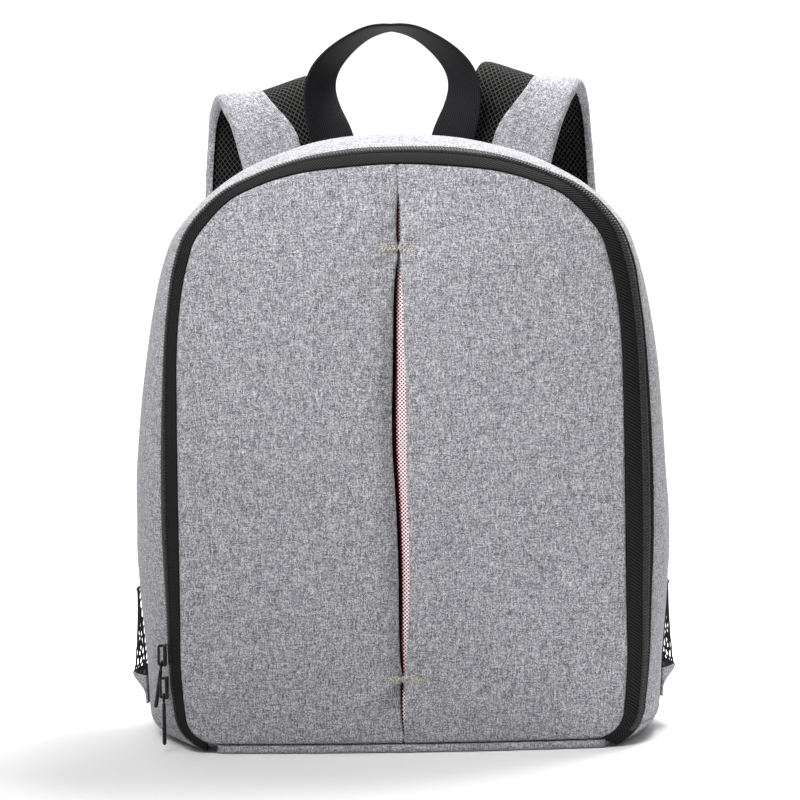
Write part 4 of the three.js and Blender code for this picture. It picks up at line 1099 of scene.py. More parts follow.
@dataclass
class FrontPanel:
    """Two padded flaps that meet at the slit, the lining behind them, and the two bar tacks."""

    form: BodyForm
    finishes: Finishes
    thickness: float = 3.0
    fold_thickness: float = 4.0
    edge_radius: float = 2.2
    roll_reach: float = 70.0
    edge_roll: float = 0.8
    edge_roll_reach: float = 4.0
    slit_width: float = 7.0
    slit_shift: float = 0.3
    left_curl: float = 6.2
    curl_reach: float = 6.4
    curl_power: float = 1.5
    left_sag: float = 2.4
    right_sag: float = 1.2
    sag_reach: float = 17.0
    sag_top: float = 300.0
    sag_fade: float = 60.0
    least_open: float = 0.2
    open_power: float = 0.6
    fade_reach: float = 20.0
    low_fold: float = 2.4
    low_fold_reach: float = 12.0
    plump_reach: float = 7.0
    unevenness: tuple = ((0.9, 46.0, 11), (0.4, 21.0, 12), (0.1, 8.0, 13))
    uneven_start: float = 12.0
    tack_ups: tuple = (41.6, 281.8)
    tack_middles: tuple = (1.2, 0.0)
    tack_length: float = 19.0
    tack_height: float = 2.2
    thread_radius: float = 0.40
    thread_sink: float = 0.2
    thread_swing: float = 0.12
    thread_wobble: tuple = ((0.4, 2.0, 5),)
    tack_turns: int = 8
    tack_dimple: float = 2.4
    tack_reach: float = 13.0
    tack_crease: float = 1.3
    crease_rays: int = 5
    crease_middle: float = 18.0
    crease_reach: float = 16.0
    lining_inset: float = 1.6
    lining_thickness: float = 1.3
    lining_reach: float = 35.0
    lining_front: float = 3.4
    lining_dish: float = 2.2
    lining_ridge: float = 4.4
    ridge_reach: float = 3.4
    # painted shade on the lining: where it begins and ends across the slit, as shares of the slit's width
    fold_start: float = -0.05
    fold_end: float = 0.42
    fold_bite: float = 0.55
    lining_trough: float = 5.0
    trough_reach: float = 2.6
    trough_shift: float = 1.0
    slit_rows: Array = field(default_factory=lambda: np.array([
        # height and gap as shares of the panel's height and of the slit's width, and sideways shift in mm
        (0.000, 0.06, -0.9), (0.014, 0.12, -0.9), (0.041, 0.25, -1.0), (0.068, 0.30, -0.9),
        (0.096, 0.28, -0.7), (0.109, 0.10, -0.6), (0.125, 0.26, -0.4), (0.150, 0.46, -0.2),
        (0.185, 0.63, 0.0), (0.219, 0.75, 0.4), (0.287, 0.83, 0.9), (0.356, 0.87, 0.8),
        (0.424, 0.88, 0.2), (0.492, 1.05, -0.4), (0.561, 1.11, -0.4), (0.629, 0.99, -0.2),
        (0.697, 0.84, -0.2), (0.766, 0.74, 0.0), (0.797, 0.62, 0.1), (0.817, 0.44, 0.2),
        (0.838, 0.22, 0.2), (0.855, 0.09, 0.2), (0.872, 0.24, 0.4), (0.923, 0.28, 0.6),
        (0.950, 0.12, 0.7), (0.965, 0.05, 0.6), (1.000, 0.05, 0.2),
    ]))

    def slit_at(self, z: Array) -> tuple[Array, Array]:
        """The slit's middle line and half of its width at heights, smooth through the table's rows."""
        up = np.clip((z - self.form.panel_foot) / (self.form.panel_top - self.form.panel_foot), 0, 1)
        rows = smooth_through(self.slit_rows[:, 0], self.slit_rows[:, 1:], up.ravel())
        half = np.maximum(self.slit_width * rows[:, 0], self.form.seam_gap) / 2
        return (rows[:, 1] + self.slit_shift).reshape(up.shape), half.reshape(up.shape)

    def fold_at(self, z: Array) -> Array:
        """Thickness of a flap's fold at the slit, which thins towards the two ends of the panel."""
        form = self.form
        from_end = np.minimum(z - form.panel_foot, form.panel_top - z)
        share = np.clip(from_end / self.fade_reach, 0, 1)
        return self.thickness + (self.fold_thickness - self.thickness) * share

    def from_slit(self, x: Array, z: Array, side: Side) -> Array:
        """Distance of places on one flap from its edge at the slit."""
        middle, half = self.slit_at(z)
        return np.maximum(side.value * (x - middle) - half, 0)

    def flat_flap(self, side: Side, across: Array, up: Array) -> Array:
        """One flap's grid in the plane of X and Z, from the zip to the slit.

        Args:
            side: Left or right flap.
            across: Shares from the zip to the slit.
            up: Shares from the bottom to the top.

        Returns:
            A grid of shape (len(up), len(across), 2).
        """
        form = self.form
        knots = form.knots
        fine = np.linspace(0, 1, 120)

        def stretch(first: int, last: int) -> Array:
            """The panel's edge from one knot to another."""
            return form.panel_arch(knots[first] + (knots[last] - knots[first]) * fine)

        heights = form.panel_foot + (form.panel_top - form.panel_foot) * np.linspace(0, 1, 400)
        middle, half = self.slit_at(heights)
        inset = self.fold_at(heights) / 2 - self.fold_bite
        slit = np.stack([-side.value * middle - half - inset, heights], axis=1)
        top = stretch(form.high_knot, (len(knots) - 1) // 2)
        top = np.concatenate([top[top[:, 0] < slit[-1, 0]], slit[-1:]])
        bottom = np.concatenate([stretch(0, form.low_knot)[::-1], slit[:1]])
        flat = fill_borders(stretch(form.low_knot, form.high_knot), slit, bottom, top, across, up)
        return flat * np.array([-side.value, 1.0])

    def swell(self, flat: Array, side: Side) -> Array:
        """How far each point stands out of the panel's edge surface, in millimetres.

        The padding rises from the zip as one less the square of one less the distance over its reach.
        A quick roll lies along the seam, the slit's edge dips with the distance from it, each bar tack
        sits in a soft dimple with creases that run out of it, and a slow unevenness lies over all.

        Args:
            flat: Places of shape (rows, columns, 2), with X to the bag's own right.
            side: Left or right flap.

        Returns:
            Heights of shape (rows, columns).
        """
        form = self.form
        x, z = flat[..., 0], flat[..., 1]
        foot = self.from_edge(x, z)
        rise = form.pillow * plump(foot / self.roll_reach)
        rise = rise + self.edge_roll * (1 - np.exp(-foot / self.edge_roll_reach))
        slit = self.from_slit(x, z, side)
        low, high = self.tack_ups
        between = np.clip((z - low) / (high - low), 0, 1)
        open_part = self.least_open + (1 - self.least_open) * np.sin(np.pi * between) ** self.open_power
        sag = np.exp(-slit / self.sag_reach)
        if side is Side.LEFT:
            dip = self.left_curl * np.exp(-(slit / self.curl_reach) ** self.curl_power) * open_part
            dip = dip + self.left_sag * sag * np.clip((self.sag_top - z) / self.sag_fade, 0, 1)
            below = np.clip((low - z) / self.low_fold_reach, 0, 1)
            dip = dip + self.low_fold * below * np.exp(-slit / self.curl_reach)
        else:
            dip = self.right_sag * sag * open_part
        rise = rise - dip * np.minimum(foot / self.fade_reach, 1)
        for up, middle in zip(self.tack_ups, self.tack_middles):
            away = np.hypot(x - middle, z - up)
            angle = np.arctan2(z - up, x - middle)
            rays = 0.5 + 0.5 * np.cos(self.crease_rays * angle + up)
            crease = rays * np.exp(-((away - self.crease_middle) / self.crease_reach) ** 2)
            rise = rise - self.tack_dimple * np.exp(-(away / self.tack_reach) ** 2)
            rise = rise - self.tack_crease * crease
        return rise + layered_noise(x, z, self.unevenness) * np.minimum(foot / self.uneven_start, 1)

    def from_edge(self, x: Array, z: Array) -> Array:
        """Distance of places from the panel's edge on the zip and on the base."""
        edge = self.form.panel_arch(np.linspace(0, 0.5, 121))
        arch = distance_to_line(np.stack([-np.abs(x), z], axis=-1), edge)
        return np.minimum(arch, np.abs(z - self.form.panel_foot))

    def build_flap(self, side: Side) -> None:
        """Makes one flap as a padded wall with a plump fold at the slit.

        The grid is denser beside the zip, beside the slit and at the two ends.

        Args:
            side: Left or right flap.
        """
        across = np.interp(np.arange(110), [0, 7, 84, 109], [0, 0.06, 0.88, 1])
        up = np.interp(np.arange(236), [0, 5, 230, 235], [0, 0.02, 0.98, 1])
        flat = self.flat_flap(side, across, up)
        x, z = flat[..., 0], flat[..., 1]
        drop = edge_drop(self.from_edge(x, z), self.edge_radius)
        outer = np.stack([x, self.form.edge_depth(x) - self.swell(flat, side) + drop, z], axis=-1)
        slit = self.from_slit(x, z, side)
        fold = (self.fold_at(z) - self.thickness) * np.exp(-slit / self.plump_reach)
        surface = Surface(f"flap_{side.word}")
        surface.wall(outer, grid_normals(outer, FRONT), self.thickness + fold - drop)
        piece = surface.build(self.finishes.cloth)
        flat_uv(piece, (0, 2))
        settle(piece, (f"front_panel_{side.word}",))

    def build_lining(self) -> None:
        """Makes the lining: dished behind the flaps, deep by the left flap and high by the right."""
        form = self.form
        edge = form.panel_arch(np.linspace(0, 1, 121))
        inner = edge + unit(np.array([0.0, form.panel_top / 2]) - edge) * self.lining_inset
        near_slit = np.linspace(0.47, 0.53, 26)
        across = np.concatenate([np.linspace(0, 0.47, 40)[:-1], near_slit, np.linspace(0.53, 1, 40)[1:]])
        flat = form.fill_arch(inner, 80, across, np.linspace(0, 1, 141))
        x, z = flat[..., 0], flat[..., 1]
        away = distance_to_line(flat, np.concatenate([edge, edge[:1]]))
        dish = self.lining_dish * plump(away / self.lining_reach)
        middle, half = self.slit_at(z)
        wide = np.minimum(half / (self.slit_width / 2), 1)
        from_right = (x - middle - half) / self.ridge_reach
        from_left = (x - middle + half + self.trough_shift) / self.trough_reach
        ridge = self.lining_ridge * wide * np.exp(-from_right ** 2)
        trough = self.lining_trough * wide * np.exp(-from_left ** 2)
        y = form.edge_depth(x) + self.lining_front + dish - ridge + trough
        outer = np.stack([x, y, z], axis=-1)
        surface = Surface("slit_lining")
        surface.wall(outer, grid_normals(outer, FRONT), self.lining_thickness)
        piece = surface.build(self.finishes.lining)
        flat_uv(piece, (0, 2))
        # painted shade: darkens the lining's colour under the left flap
        self.shade_fold(piece)
        settle(piece, ("pocket_lining",))

    def shade_fold(self, piece: Piece) -> None:
        """Gives the lining a point attribute of painted shade: 1 under the left flap, fading out across the
        slit.
        """
        mesh = piece.data
        points = np.empty(len(mesh.vertices) * 3, np.float32)
        mesh.vertices.foreach_get("co", points)
        x, _, z = points.reshape(-1, 3).T.astype(float) / MM
        middle, half = self.slit_at(z)
        share = (x - middle + half) / (2 * half)
        fold = 1 - eased((share - self.fold_start) / (self.fold_end - self.fold_start))
        # the point attribute fold carries the painted shade to the lining's material
        layer = mesh.attributes.new("fold", "FLOAT", "POINT")
        layer.data.foreach_set("value", fold.astype(np.float32))

    def build_tack(self, name: str, up: float, middle: float) -> None:
        """Makes one bar tack: a thread that zigzags across the slit, laid on the flaps.

        Args:
            name: Name of the piece.
            up: Height of the tack.
            middle: Its middle along X.
        """
        share = np.linspace(0, 1, self.tack_turns * 16 + 1)
        x = middle + (share - 0.5) * self.tack_length
        swing = 2 / np.pi * np.arcsin(np.sin(share * self.tack_turns * 2 * np.pi))
        z = up + swing * self.tack_height / 2 + layered_noise(x, x * 0, self.thread_wobble)
        flat = np.stack([x[None], z[None]], axis=-1)
        rise = np.where(x < middle, self.swell(flat, Side.LEFT)[0], self.swell(flat, Side.RIGHT)[0])
        y = self.form.edge_depth(x) - rise - self.thread_sink - self.thread_swing * swing
        surface = Surface(name)
        surface.tube(round_loops(np.stack([x, y, z], axis=1), self.thread_radius, 6, FRONT))
        settle(surface.build(self.finishes.thread))

    def build(self) -> None:
        """Makes the flaps, the lining and the tacks."""
        for side in Side:
            self.build_flap(side)
        self.build_lining()
        for name, up, middle in zip(("tack_lower", "tack_upper"), self.tack_ups, self.tack_middles):
            self.build_tack(name, up, middle)


def flat_uv(piece: Piece, axes: tuple[int, int]) -> None:
    """Lays a piece's cloth flat along two of the bag's axes, in metres.

    Args:
        piece: The Blender object.
        axes: Numbers of the two axes.
    """
    mesh = piece.data
    points = np.empty(len(mesh.vertices) * 3, np.float32)
    mesh.vertices.foreach_get("co", points)
    corners = np.empty(len(mesh.loops), np.int32)
    mesh.loops.foreach_get("vertex_index", corners)
    places = points.reshape(-1, 3)[corners][:, list(axes)]
    mesh.uv_layers["cloth"].data.foreach_set("uv", np.ascontiguousarray(places).ravel())


def path_frames(path: Array, hint: Array) -> tuple[Array, Array, Array]:
    """Directions along a path: along it, across it as near to a hint as can be, and out of both.

    Args:
        path: Points of shape (n, 3).
        hint: One direction, or one for each point.

    Returns:
        Three arrays of unit vectors, each of shape (n, 3).
    """
    along = unit(np.gradient(path, axis=0))
    across = np.broadcast_to(hint, path.shape)
    across = unit(across - (across * along).sum(1, keepdims=True) * along)
    return along, across, np.cross(across, along)


def round_loops(path: Array, radius: float, sides: int, hint: Array) -> Array:
    """Circles of a radius along a path, shape (n, sides, 3)."""
    _, across, out = path_frames(path, hint)
    turn = round_angles(sides)[None, :, None]
    return path[:, None] + radius * (np.cos(turn) * across[:, None] + np.sin(turn) * out[:, None])


# Zip

@dataclass
class Zip:
    """The tape that joins the panel to the side, and the coil on it."""

    form: BodyForm
    finishes: Finishes
    cloth_thickness: float = 1.2
    bulge: float = 1.8
    coil_place: float = 0.66
    row_share: float = 0.062
    coil_lift: float = 0.45
    tooth_pitch: float = 1.75
    tooth_length: float = 2.9
    tooth_radius: float = 0.60
    tooth_slant: float = 0.22
    first_tooth: float = 0.25
    groove: float = 0.35
    groove_place: float = 0.19
    groove_reach: float = 0.035
    spine_half: float = 0.14
    spine_foot: float = 0.15
    spine_rise: float = 0.35
    spine_sink: float = 0.3

    def tape_at(self, places: Array, shares: Array) -> tuple[Array, Array]:
        """The tape's outer face, from the panel's edge to the rim.

        It runs straight between the two edges, plus a half sine outwards, plus a shallow groove on
        each side of the coil.

        Args:
            places: Places round the arch, shape (n,).
            shares: Shares of the tape's width, shape (m,).

        Returns:
            Points and outward unit vectors, both of shape (n, m, 3).
        """
        form = self.form
        edge = form.panel_arch(places)
        tangent = unit(np.gradient(edge, axis=0))
        out = np.stack([-tangent[:, 1], tangent[:, 0]], axis=1)
        start = edge + out * form.seam_gap
        first = np.stack([start[:, 0], form.edge_depth(edge[:, 0]), start[:, 1]], axis=1)
        last = form.section(0.0, places)
        across = last - first
        along = np.stack([tangent[:, 0], np.zeros(len(edge)), tangent[:, 1]], axis=1)
        outward = unit(np.cross(along, across))
        weight = eased(form.corner_share(places))[:, None, None]
        wave = np.sin(np.pi * shares)[None, :, None] * self.bulge
        dent = np.zeros_like(shares)
        for spot in (self.coil_place - self.groove_place, self.coil_place + self.groove_place):
            dent = dent - self.groove * np.exp(-((shares - spot) / self.groove_reach) ** 2)
        rise = wave * weight + dent[None, :, None] * weight
        points = first[:, None] + across[:, None] * shares[None, :, None] + outward[:, None] * rise
        return points, np.broadcast_to(outward[:, None], points.shape)

    def build_tape(self) -> None:
        """Makes the tape as a wall along the arch."""
        form = self.form
        places = np.linspace(form.knots[1], form.knots[-2], 620)
        shares = np.concatenate([[0.03, 0.04], np.linspace(0.06, 0.94, 40), [0.96, 0.97]])
        outer, outward = self.tape_at(places, shares)
        surface = Surface("zip_tape_cloth")
        surface.wall(outer, grid_normals(outer, outward), self.cloth_thickness)
        settle(surface.build(self.finishes.tape), ("zip_tape",))

    def build_coil(self) -> None:
        """Makes the two rows of coil turns as small rounded bars, one after another along the arch."""
        knots = self.form.knots
        fine = np.linspace(knots[self.form.low_knot], knots[-1 - self.form.low_knot], 1500)
        line, _ = self.tape_at(fine, np.array([self.coil_place]))
        lengths = chord_places(line[:, 0])
        count = int(lengths[-1] / self.tooth_pitch)
        surface = Surface("zip_coil_turns")
        bar, faces = rounded_bar(self.tooth_length, self.tooth_radius, 6)
        for row, offset in ((-1, 0.0), (1, 0.5)):
            spots = (np.arange(count - 1) + offset + self.first_tooth) * self.tooth_pitch
            places = np.interp(spots, lengths, fine)
            middle = self.coil_place + row * self.row_share
            points, outward = self.tape_at(places, np.array([middle - 0.01, middle + 0.01]))
            across = unit(points[:, 1] - points[:, 0])
            out = unit(outward[:, 0] - (outward[:, 0] * across).sum(1, keepdims=True) * across)
            slant = unit(across + self.tooth_slant * row * np.cross(out, across))
            origins = points.mean(1) + out * self.coil_lift
            surface.repeat(bar, faces, origins, np.stack([slant, np.cross(out, slant), out], axis=1))
        surface.tube(self.spine_loops(fine))
        settle(surface.build(self.finishes.coil), ("zip_coil",))

    def spine_loops(self, places: Array) -> Array:
        """Low flat ridge under the coil's turns, as closed loops along the arch."""
        shares = np.linspace(self.coil_place - self.spine_half, self.coil_place + self.spine_half, 7)
        points, outward = self.tape_at(places[::3], shares)
        arch = np.sin(np.linspace(0, np.pi, 7))[None, :, None]
        top = points + outward * (self.spine_foot + self.spine_rise * arch)
        return np.concatenate([top, (points - outward * self.spine_sink)[:, ::-1]], axis=1)

    def build(self) -> None:
        """Makes the tape and the coil."""
        self.build_tape()
        self.build_coil()


def rounded_bar(length: float, radius: float, sides: int) -> tuple[Array, Array]:
    """A short bar along its own X with domed ends.

    Args:
        length: Length from end to end.
        radius: Radius of its round section.
        sides: Sides of the section.

    Returns:
        Its points, shape (k, 3), and its faces, shape (f, 4).
    """
    turn = round_angles(sides)
    rings = []
    for x, size in ((-0.5, 0.45), (-0.36, 1.0), (0.36, 1.0), (0.5, 0.45)):
        y, z = np.cos(turn) * radius * size, np.sin(turn) * radius * size
        rings.append(np.stack([np.full(sides, x * length), y, z], axis=1))
    points = np.concatenate(rings)
    numbers = np.arange(4 * sides).reshape(4, sides)
    wide = np.concatenate([numbers, numbers[:, :1]], axis=1)
    walls = np.stack([wide[:-1, :-1], wide[1:, :-1], wide[1:, 1:], wide[:-1, 1:]], axis=-1).reshape(-1, 4)
    caps = []
    for ring in (numbers[0], numbers[-1][::-1]):
        for i in range(1, sides - 1):
            caps.append((ring[0], ring[i], ring[i + 1], -1))
    return points, np.concatenate([walls, np.array(caps)])


# Body of the bag

@dataclass
class Shell:
    """Sides and top in one arch, the base and the back."""

    form: BodyForm
    finishes: Finishes
    side_thickness: float = 5.0
    seam_index: int = 4
    middle: tuple = (0.0, 5.0, 150.0)
    measured_column: int = 20
    unevenness: tuple = ((0.8, 60.0, 21), (0.35, 24.0, 22))
    even_rim: float = 14.0
    puckers: tuple = ((0.25, 9.0, 23),)
    pucker_length: float = 0.3
    pucker_reach: float = 9.0
    pucker_end: float = 5.0
    seam_dip: float = 0.7
    seam_reach: float = 2.5
    corner_rows: int = 12
    corner_gap: float = 0.0006
    row_step: float = 0.2
    back_swell: float = 2.6
    swell_start: float = 9.0
    swell_reach: float = 16.0
    piping: float = 1.6
    piping_place: float = 3.2
    piping_reach: float = 2.4
    back_edge: float = 2.0
    back_wall: float = 4.6

    def build_side(self) -> None:
        """Makes the side and top wall.

        Its outer face is the body's form plus a slow unevenness, a soft groove along each seam and
        small puckers beside the zip.
        """
        form = self.form
        first, last = form.knots[self.seam_index], form.knots[-1 - self.seam_index]
        places = np.linspace(first, last, 520)
        inset = self.side_thickness / 2 / (form.side_end - form.rim_y)
        front, rear = np.linspace(inset, 0.08, 7)[:-1], np.linspace(0.92, 1 - inset, 7)[1:]
        backs = np.concatenate([front, np.linspace(0.08, 0.92, 60), rear])
        outer = form.side(places, backs)
        normals = self.outward(outer)
        length = chord_places(outer[:, self.measured_column])[:, None] * np.ones((1, len(backs)))
        depth = chord_places(outer[len(places) // 2])[None, :] * np.ones((len(places), 1))
        edge = np.minimum(depth, depth.max() - depth)
        ends = np.minimum(length, length.max() - length)
        uneven = layered_noise(length, depth, self.unevenness)
        pucker = layered_noise(length, depth * self.pucker_length, self.puckers)
        pucker = pucker * np.exp(-edge / self.pucker_reach)
        seam = self.seam_dip * (1 - np.exp(-edge / self.seam_reach)) - self.seam_dip
        weight = np.minimum(edge / self.even_rim, 1) * np.minimum(ends / self.even_rim, 1)
        lift = uneven * weight + pucker * np.minimum(ends / self.pucker_end, 1) + seam
        outer = outer + normals * lift[..., None]
        surface = Surface("side_cloth")
        surface.wall(outer, self.outward(outer), self.side_thickness)
        piece = surface.build(self.finishes.cloth)
        settle(piece, ("gusset",))

    def outward(self, grid: Array) -> Array:
        """Normals of a grid, turned away from the middle of the bag."""
        return grid_normals(grid, grid - np.array(self.middle))

    def build_base(self) -> None:
        """Makes the base with its two rounded corners as a wall from the front edge to the back.

        The front edge follows the panel, and each row behind it lies at least a small step farther back.
        """
        form = self.form
        reach = (form.knots[self.seam_index] - self.corner_gap) * np.linspace(0, 1, self.corner_rows)
        inset = form.base_thickness / 2 / (form.side_end - form.rim_y)
        backs = np.concatenate([np.linspace(0, 0.06, 7)[:-1], np.linspace(0.06, 1 - inset, 54)])
        left_side = form.side(reach[::-1], backs)
        right_side = form.side(1 - reach, backs)
        share = np.linspace(0, 1, 60)[1:-1][:, None, None]
        flat = left_side[-1][None] * (1 - share) + right_side[0][None] * share
        outer = np.concatenate([left_side, flat, right_side], axis=0)
        outer[..., 2] = np.maximum(outer[..., 2], 0.0)
        number = np.arange(len(outer))
        corner = self.corner_rows - 1
        on_flat = (number >= corner) & (number < len(outer) - corner)
        on_panel, on_zip = form.edge_depth(outer[:, 0, 0]), outer[:, 0, 1] + form.seam_gap
        front = np.where(on_flat, on_panel, on_zip) + form.base_thickness / 2
        outer[:, 0, 1] = front
        outer[..., 1] = np.maximum(outer[..., 1], front[:, None] + self.row_step * np.arange(len(backs)))
        surface = Surface("base_cloth")
        surface.wall(outer, self.outward(outer), form.base_thickness)
        piece = surface.build(self.finishes.cloth)
        settle(piece, ("base_panel",))

    def build_back(self) -> None:
        """Makes the padded back: a mesh panel that swells from its edge seam, with a piped edge."""
        form = self.form
        line = form.section(1.0, np.linspace(0, 1, 400))[:, [0, 2]]
        flat = form.fill_arch(line, 90, np.linspace(0, 1, 121), np.linspace(0, 1, 151))
        away = distance_to_line(flat, np.concatenate([line, line[:1]]))
        drop = edge_drop(away, self.back_edge)
        swell = self.back_swell * plump((away - self.swell_start) / self.swell_reach)
        piping = self.piping * np.exp(-((away - self.piping_place) / self.piping_reach) ** 2)
        y = form.back_face - self.back_swell - drop + swell + piping
        outer = np.stack([flat[..., 0], y, flat[..., 1]], axis=-1)
        surface = Surface("back_mesh")
        surface.wall(outer, grid_normals(outer, -FRONT), self.back_wall - drop)
        piece = surface.build(self.finishes.air_mesh)
        flat_uv(piece, (0, 2))
        settle(piece, ("back_panel",))

    def build(self) -> None:
        """Makes the side, the base and the back."""
        self.build_side()
        self.build_base()
        self.build_back()


# Handle and shoulder straps

def carried(path: Array, across: Array, out: Array, section: Array) -> Array:
    """A flat section carried along a path.

    Args:
        path: Points of shape (n, 3).
        across: Unit vectors across the ribbon, shape (n, 3).
        out: Unit vectors out of its face, shape (n, 3).
        section: Places across and out, of shape (m, 2) or (n, m, 2).

    Returns:
        Loops of shape (n, m, 3).
    """
    places = np.broadcast_to(section, (len(path), *section.shape[-2:]))
    return path[:, None] + across[:, None] * places[..., :1] + out[:, None] * places[..., 1:]


def ribbon_section(width: float, thickness: float, steps: int = 14) -> Array:
    """A flat section with half-round edges, shape (2 * steps + 10, 2)."""
    half = width / 2 - thickness / 2
    x = np.linspace(-half, half, steps)
    turn = np.linspace(np.pi / 2, -np.pi / 2, 7)[1:-1]
    right = np.stack([half + np.cos(turn) * thickness / 2, np.sin(turn) * thickness / 2], axis=1)
    top = np.stack([x, np.full(steps, thickness / 2)], axis=1)
    return np.concatenate([top, right, -top, -right])


@dataclass
class TopHandle:
    """Loop of flat webbing that turns on edge towards its middle."""

    form: BodyForm
    finishes: Finishes
    width: float = 26.0
    thickness: float = 2.0
    spread: float = 44.0
    rise: float = 67.2
    root: float = 34.0
    shift: float = -2.0
    foot_lift: float = 1.9
    rows: Array = field(default_factory=lambda: np.array([
        # out and up, as shares of the spread and of the rise or the root, and turn in degrees
        (0.78, -1.00, 0), (0.79, -0.24, 0), (0.84, 0.00, 6), (0.96, 0.24, 30), (1.00, 0.42, 42),
        (0.96, 0.57, 52), (0.83, 0.71, 63), (0.58, 0.86, 74), (0.30, 0.965, 82), (0.00, 1.00, 90),
    ]))

    def build(self) -> None:
        """Carries the ribbon's section along a smooth line through the rows."""
        form = self.form
        level = form.body_top + self.foot_lift
        out, up, turn = self.rows.T
        height = level + np.where(up < 0, up * self.root, up * self.rise)
        x = np.concatenate([-out, out[-2::-1]]) * self.spread + self.shift
        z = np.concatenate([height, height[-2::-1]])
        y = np.full_like(x, form.back_face + form.seam_gap + self.thickness / 2)
        angle = np.radians(np.concatenate([turn, 180 - turn[-2::-1]]))
        nodes = np.stack([x, y, z], axis=1)
        places = root_places(nodes)
        fine = np.linspace(0, places[-1], 260)
        path = smooth_through(places, nodes, fine)
        spin = smooth_through(places, angle[:, None], fine)[:, 0]
        along = unit(np.gradient(path, axis=0))
        outward = np.stack([-along[:, 2], np.zeros(len(path)), along[:, 0]], axis=1)
        flip = np.where(spin <= np.pi / 2, np.cos(spin), -np.cos(spin))[:, None]
        hint = outward * flip + np.stack([0 * spin, -np.sin(spin), 0 * spin], axis=1)
        _, across, face = path_frames(path, hint)
        surface = Surface("top_handle")
        surface.tube(carried(path, across, face, ribbon_section(self.width, self.thickness)))
        settle(surface.build(self.finishes.webbing), ("handle",))


